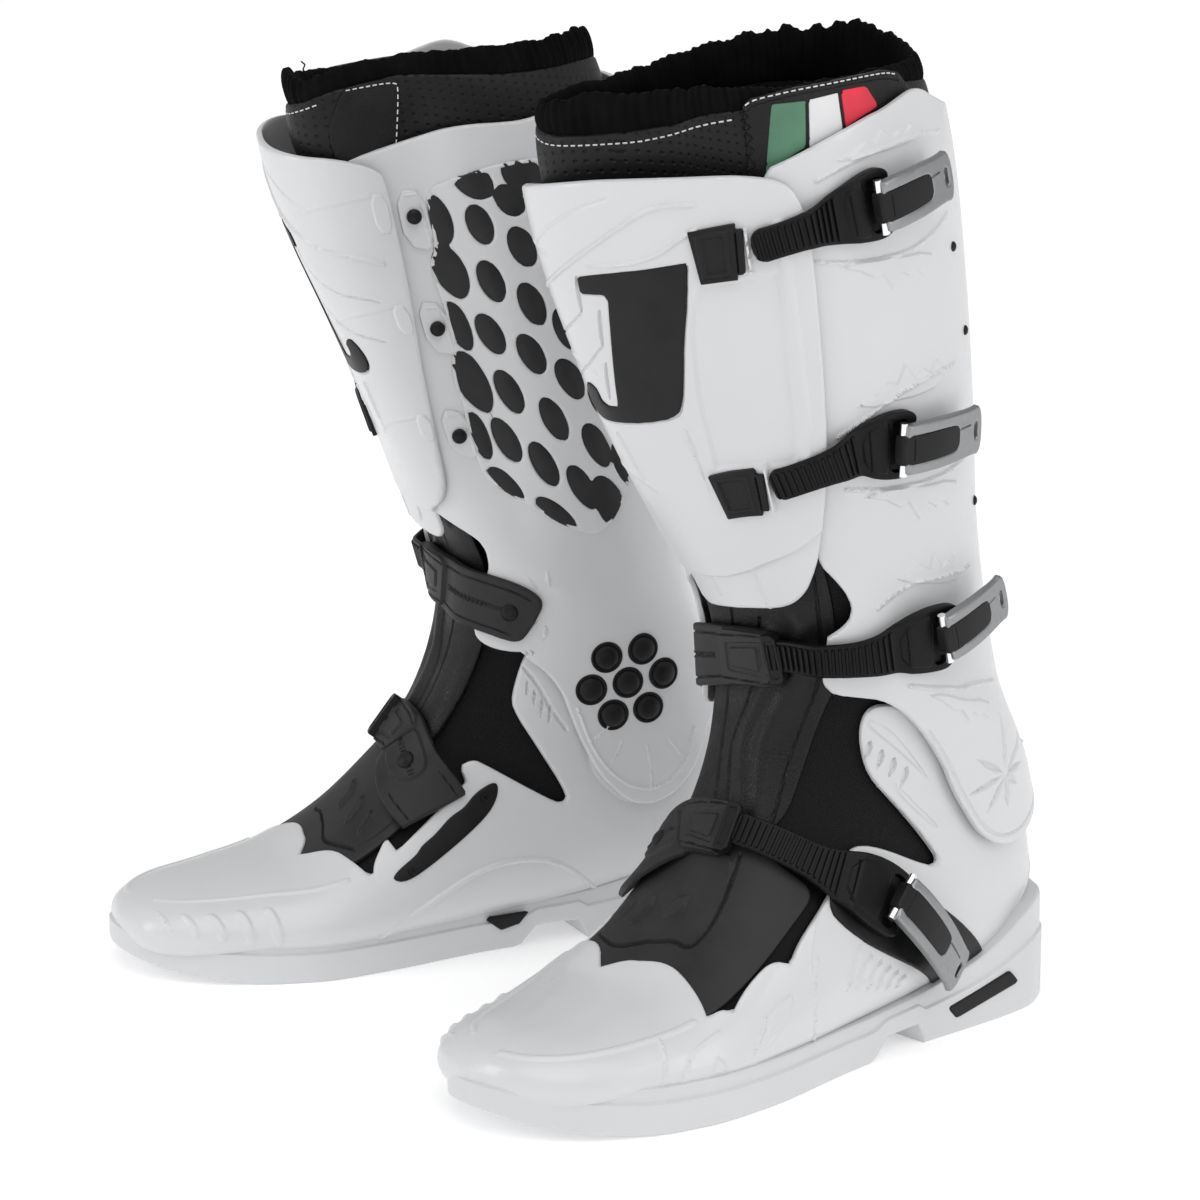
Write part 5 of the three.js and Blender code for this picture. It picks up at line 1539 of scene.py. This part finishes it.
def tongue():
    """The padded leather tongue: two stuffed ridges that run up it, with seams beside them."""
    slab = Slab(SURFACE, (-40, 6.3), (50, 12.2), 1.8)
    slab.keep([(-30, 6.5), (0, 6.4), (28, 6.45), (37, 7.2), (36, 8.0), (38, 9.0), (45, 10.0), (47, 11.0),
               (45, 12.1), (-34, 12.1), (-36, 10.5), (-32, 9.0), (-30, 7.5)])
    ridges = [([(16, 10.2), (15, 9.5), (10, 8.9), (4, 8.3), (5, 7.8), (10, 7.3), (14, 6.8)], 2.4, 5.0),
              ([(31, 10.6), (28, 9.7), (21, 8.9), (16, 8.3), (17, 7.8), (23, 7.2), (26, 6.8)], 3.0, 6.5)]
    seams = [
        [(-6, 11.5), (-6, 9.8), (-9, 8.9), (-8, 7.8), (-2, 6.8)],
        [(40, 11.5), (38, 9.9), (32, 8.9), (29, 8.0), (32, 7)],
        [(9, 10.4), (5, 9.0), (-1, 8.3), (-1, 7.7), (4, 6.9)],
    ]
    ridges = [(rounded(line, 2, closed=False), rise, width) for line, rise, width in ridges]

    def high(p):
        rise = 0.9 + 2.6 * (1 - ramp(-30, 5, p[:, 0]))
        for line, height, width in ridges:
            far = line_distance(SURFACE, p, line, False, 2.5 * width) / width
            rise += height * np.exp(-1.6 * far ** 2)
        return rise

    for seam in seams:
        slab.line(seam, -0.8, 2.2)
    return slab.solid(-0.3, high, lip=1.2)


def thread(line, distance, length=1.9, gap=1.3, radius=0.32, times=2):
    """A row of stitches along a line of the surface, at a distance that is a function of its points."""
    line = rounded(line, times, closed=False)
    path = SURFACE.place(line, distance(line))
    far = np.concatenate([[0], np.cumsum(np.linalg.norm(np.diff(path, axis=0), axis=1))])
    stitches = []
    ring = [(radius * math.cos(a), radius * math.sin(a)) for a in np.radians(np.arange(0, 360, 72))]
    for start in np.arange(0, far[-1] - length, length + gap):
        a, b = (np.array([np.interp(s, far, path[:, k]) for k in range(3)]) for s in (start, start + length))
        run = unit(b - a)
        side = unit(np.cross(run, (0.3, 0.2, 1)))
        up = np.cross(run, side)
        ends = [p + side * x + up * y for p in (a, b) for x, y in ring]
        n = len(ring)
        faces = [(i, (i + 1) % n, n + (i + 1) % n) for i in range(n)]
        faces += [(i, n + (i + 1) % n, n + i) for i in range(n)]
        faces += [(0, i + 1, i) for i in range(1, n - 1)]
        faces += [(n, n + i, n + i + 1) for i in range(1, n - 1)]
        stitches.append(Solid(np.array(ends), np.array(faces)))
    return joined(*stitches)


# The collar's edges: degrees, lower row, the row where the cuff starts, the cuff's top row.
COLLAR = np.array([
    [0, 15.2, 15.8, 16.58],
    [16, 15.2, 15.95, 16.68],
    [31, 15.2, 16.2, 16.82],
    [45, 15.2, 16.36, 16.88],
    [66, 15.4, 16.7, 17.0],
    [100, 16.2, 17.0, 17.3],
    [130, 16.3, 17.0, 17.42],
    [180, 16.3, 17.0, 17.56],
    [230, 16.0, 16.85, 17.42],
    [266, 15.6, 16.6, 17.22],
    [300, 15.2, 16.45, 16.95],
    [318, 15.0, 16.12, 16.6],
    [328, 15.0, 15.9, 16.34],
    [340, 15.0, 15.77, 16.42],
    [350, 15.1, 15.76, 16.55],
    [360, 15.2, 15.8, 16.58],
])


def collar_lift(deg):
    """How far the collar stands off the form: it is set back inside the shells, less at the shin's corner."""
    turn = (np.asarray(deg, float) + 180) % 360 - 180
    return -6.5 - 4.0 * np.exp(-((turn - 15) / 35) ** 2) + 7.0 * prow(np.full(np.shape(turn), 16.0), turn)


def collar_row(deg, column):
    return np.interp(np.asarray(deg) % 360, COLLAR[:, 0], COLLAR[:, column])


def collar_top(p):
    """The height of the padded leather above the form at (deg, row) points."""
    low, high = collar_row(p[:, 0], 1), collar_row(p[:, 0], 2) + 0.1
    share = np.clip((p[:, 1] - low) / (high - low), 0, 1)
    soft = 0.25 * np.sin(p[:, 0] * 0.21) + 0.2 * np.sin(p[:, 0] * 0.093 + 1)
    return collar_lift(p[:, 0]) + 1.4 + 2.8 * np.sin(share * math.pi * 0.85) ** 0.6 * (1 + 0.3 * soft)


def on_collar(more):
    """A distance above the padded leather, as a function of the points."""
    return lambda p: collar_top(p) + more


def on_patch(more):
    """A distance above the collar's inside, as a function of the points."""
    return lambda p: collar_lift(p[:, 0]) + more


def collar():
    """The padded, perforated leather of the collar, up to the cuff."""
    slab = Slab(SURFACE, (0, 15.1), (360, 17.4), 2.4)
    over = lambda p: p[:, 1] - collar_row(p[:, 0], 1)
    under = lambda p: collar_row(p[:, 0], 2) + 0.1 - p[:, 1]
    slab.keep_where(lambda p: ROW_SPAN * np.minimum(over(p), under(p)))
    slab.line([(46, 15.4), (47, 16.0), (50, 16.5)], -1.2, 2.6)

    return slab.solid(lambda p: collar_lift(p[:, 0]) - 1.5, collar_top, lip=1.5, wrap=True)


def cuff():
    """The gathered elastic cuff: pleats of uneven width that roll over the collar."""
    columns, rings = 620, 22
    deg = np.linspace(0, 360, columns, endpoint=False)
    low, top = collar_row(deg, 2), collar_row(deg, 3)
    steps = np.cumsum(rng.uniform(0.7, 1.35, columns))
    fold = 2 * math.pi * steps / steps[-1] * 104
    other = 2 * math.pi * np.cumsum(rng.uniform(0.5, 1.5, columns)) / columns * 61
    other *= 2 * math.pi * 61 / other[-1]
    kernel = np.hanning(17) / np.hanning(17).sum()
    height = np.convolve(np.tile(rng.uniform(-1, 1, columns), 3), kernel, "same")[columns:2 * columns] * 5
    points = []
    for k in range(rings):
        turn = 2 * math.pi * k / rings
        outside = math.cos(turn)
        rise = 0.5 + 0.5 * math.sin(turn)
        swell = 3.4 * outside * (1 - 0.25 * rise)
        ruffle = 1.15 if outside >= 0 else -0.7
        lean = 0.5 * np.sin(turn + deg * 0.11)
        pleat = 0.62 * np.sin(fold + lean) + 0.3 * np.sin(other + 2 * lean)
        strength = 0.35 + 0.65 * rise
        row = low + (top - low) * (rise * 0.98 + 0.012 * pleat * strength + 0.05 * height * rise)
        distance = collar_lift(deg) - 0.2 + swell + ruffle * pleat * strength
        points.append(at(row, deg, distance))
    points = np.vstack(points)
    faces = []
    for k in range(rings):
        for i in range(columns):
            j, m = (i + 1) % columns, (k + 1) % rings
            a, b, c, d = k * columns + i, k * columns + j, m * columns + j, m * columns + i
            faces += [(a, b, c), (a, c, d)]
    return Solid(points, np.array(faces), points[:, :2] / 10)


def soft_top(solid):
    """A piece of the collar for each boot: the left's back rises, and the right's outer side slumps."""
    x, y, z = solid.points.T
    slumped, raised = solid.points.copy(), solid.points.copy()
    slumped[:, 2] -= 13 * ramp(-35, 15, x) * ramp(375, 412, z)
    raised[:, 2] += 9 * (1 - ramp(-10, 40, x)) * ramp(-60, 10, y) * ramp(395, 425, z)
    return Solid(raised, solid.faces, solid.uv), Solid(slumped, solid.faces, solid.uv)


PATCHES = [
    ("green", [(57, 16.64), (69, 16.74), (66, 16.0), (51, 15.6)]),
    ("white", [(70.3, 16.76), (81, 16.9), (80, 16.3), (67.3, 16.0)]),
    ("red", [(82.3, 16.94), (91, 17.02), (94, 16.7), (81.3, 16.34)]),
]


def collar_patch():
    """The leather panel on the collar's outer side that carries the coloured fields."""
    outline = [(44, 15.2), (60, 15.5), (80, 16.0), (100, 16.5), (113, 16.75), (112, 16.98), (107, 17.22),
               (99, 17.27), (80, 17.1), (66, 16.96), (50, 16.72), (46.5, 16.55)]
    slab = Slab(SURFACE, (42, 15.1), (116, 17.4), 1.8)
    slab.keep([(*p, SHARP) for p in outline], 1)
    slab.line([(47.5, 16.5), (50.5, 16.64), (66, 16.88), (80, 17.02), (98, 17.18), (106, 17.12)], 0.9, 2.4)
    return slab.solid(on_patch(1), on_patch(4.8), lip=0.8)


def side_patch():
    """The stitched leather panel on the collar's inner side."""
    slab = Slab(SURFACE, (-64, 15.0), (-34, 16.7), 1.8)
    slab.keep([(-39, 15.1, SHARP), (-37.5, 15.6), (-44, 16.2), (-46, 16.3), (-59, 16.5), (-60.5, 16.44),
               (-55, 15.2, SHARP)], 1)
    return slab.solid(on_patch(1), lambda p: np.maximum(on_patch(4.4)(p), on_collar(0.5)(p)), lip=0.7)


FABRIC_WHITE = white_plastic("patch_white", (0.75, 0.75, 0.76), 0.6, 0.2)
FABRIC_GREEN = black_moulding("patch_green", (0.07, 0.18, 0.11), 0.55, 0.2)
FABRIC_RED = black_moulding("patch_red", (0.58, 0.02, 0.045), 0.55, 0.2)
THREAD = white_plastic("thread", (0.72, 0.72, 0.72), 0.7, 0.1)
PATCH_COLORS = {"green": FABRIC_GREEN, "white": FABRIC_WHITE, "red": FABRIC_RED}

both_boots("inner_bootie", bootie(), MESH, None, ["inner_bootie"], bends=BEND)
padded = both_boots("tongue", tongue(), LEATHER, None, ["tongue"], bends=BEND)
padded += both_boots("collar", soft_top(collar()), PERFORATED, "shaft", ["collar"])
padded += both_boots("cuff", soft_top(cuff()), CUFF, "shaft", sharp=80)
both_boots("collar_patch", soft_top(collar_patch()), LEATHER, "shaft")
both_boots("collar_side_patch", soft_top(side_patch()), LEATHER, "shaft")
for colour, outline in PATCHES:
    field = surface_patch(outline, on_patch(4.2), on_patch(5.2), lip=0.4, times=0)
    both_boots(f"patch_{colour}", soft_top(field), PATCH_COLORS[colour], "shaft")

front_seam = [(-36, 15.96), (-31, 15.86), (-20, 15.72), (0, 15.74), (14, 15.88), (31, 16.14), (42, 16.28)]
patch_seam = [(47.5, 16.58), (50.5, 16.7), (66, 16.93), (80, 17.07), (98, 17.23), (106, 17.18)]
inner_seam = [(-45, 16.22), (-59, 16.42), (-59.3, 16.3), (-54.8, 15.3)]
zigzag = [(44.5 + 4.2 * (k % 2), 15.6 + 0.085 * k) for k in range(11)]
stitches = joined(thread(front_seam, on_collar(0.15)), thread(patch_seam, on_patch(5.3)),
                  thread(inner_seam, on_collar(0.9)))
coarse = thread(zigzag, on_patch(4.9), length=3.0, gap=0.4, radius=0.4, times=0)
both_boots("collar_thread", soft_top(stitches), THREAD, "shaft")
both_boots("collar_zigzag", coarse, STRAP, "shaft")


# ---- camera, floor and light ---------------------------------------------------------------------

CAMERA = {
    "azimuth": 56.777, "elevation": 12.522, "distance": 1.62, "target": (0.0582, -0.0301, 0.1894),
    "lens": 116.25,
}


def camera():
    """A long lens from the front and the left, a little above the boots."""
    azimuth, elevation = math.radians(CAMERA["azimuth"]), math.radians(CAMERA["elevation"])
    away = Vector((math.sin(azimuth) * math.cos(elevation), -math.cos(azimuth) * math.cos(elevation),
                   math.sin(elevation)))
    data = bpy.data.cameras.new("camera")
    data.lens = CAMERA["lens"]
    data.sensor_width = 36
    obj = bpy.data.objects.new("camera", data)
    bpy.context.scene.collection.objects.link(obj)
    obj.location = Vector(CAMERA["target"]) + away * CAMERA["distance"]
    obj.rotation_euler = (-away).to_track_quat("-Z", "Y").to_euler()
    bpy.context.scene.camera = obj


def light(name, kind, place, target, power, size):
    """A sun with a soft edge, or a rectangular area light, aimed at a target."""
    data = bpy.data.lights.new(name, kind)
    if kind == "SUN":
        data.angle = size
    else:
        data.shape = "RECTANGLE"
        data.size, data.size_y = size
    data.energy = power
    obj = bpy.data.objects.new(name, data)
    bpy.context.scene.collection.objects.link(obj)
    obj.location = place
    obj.rotation_euler = (Vector(target) - Vector(place)).to_track_quat("-Z", "Y").to_euler()


def studio():
    """A pale floor, a white surround, a broad soft light from above and one soft box on each side."""
    bpy.ops.mesh.primitive_plane_add(size=60)
    floor = bpy.context.object
    floor.name = "floor"
    material, shader, nodes, links = new_material("floor", (0.92, 0.92, 0.925), 0.8)
    shader.inputs["Emission Color"].default_value = (1, 1, 1, 1)
    shader.inputs["Emission Strength"].default_value = 0.3
    grain = noise(nodes, links, 40.0)
    links.new(remap(nodes, links, grain.outputs["Fac"], 0.3, 0.7, 0.75, 0.85), shader.inputs["Roughness"])
    floor.data.materials.append(material)
    world = bpy.data.worlds.new("studio")
    world.use_nodes = True
    surround = world.node_tree.nodes["Background"]
    surround.inputs["Color"].default_value = (1, 1, 1, 1)
    surround.inputs["Strength"].default_value = 0.5
    scene = bpy.context.scene
    scene.world = world
    middle = (0, 0, 0.2)
    light("sun", "SUN", (0.6, -0.25, 1.25), (0, 0, 0), 1.05, math.radians(60))
    light("left_box", "AREA", (-0.6, -2.0, 0.9), middle, 9, (0.5, 1.4))
    light("right_box", "AREA", (2.0, 0.9, 1.0), middle, 7, (0.5, 1.4))
    scene.view_settings.view_transform = "Standard"
    scene.view_settings.look = "None"


camera()
studio()
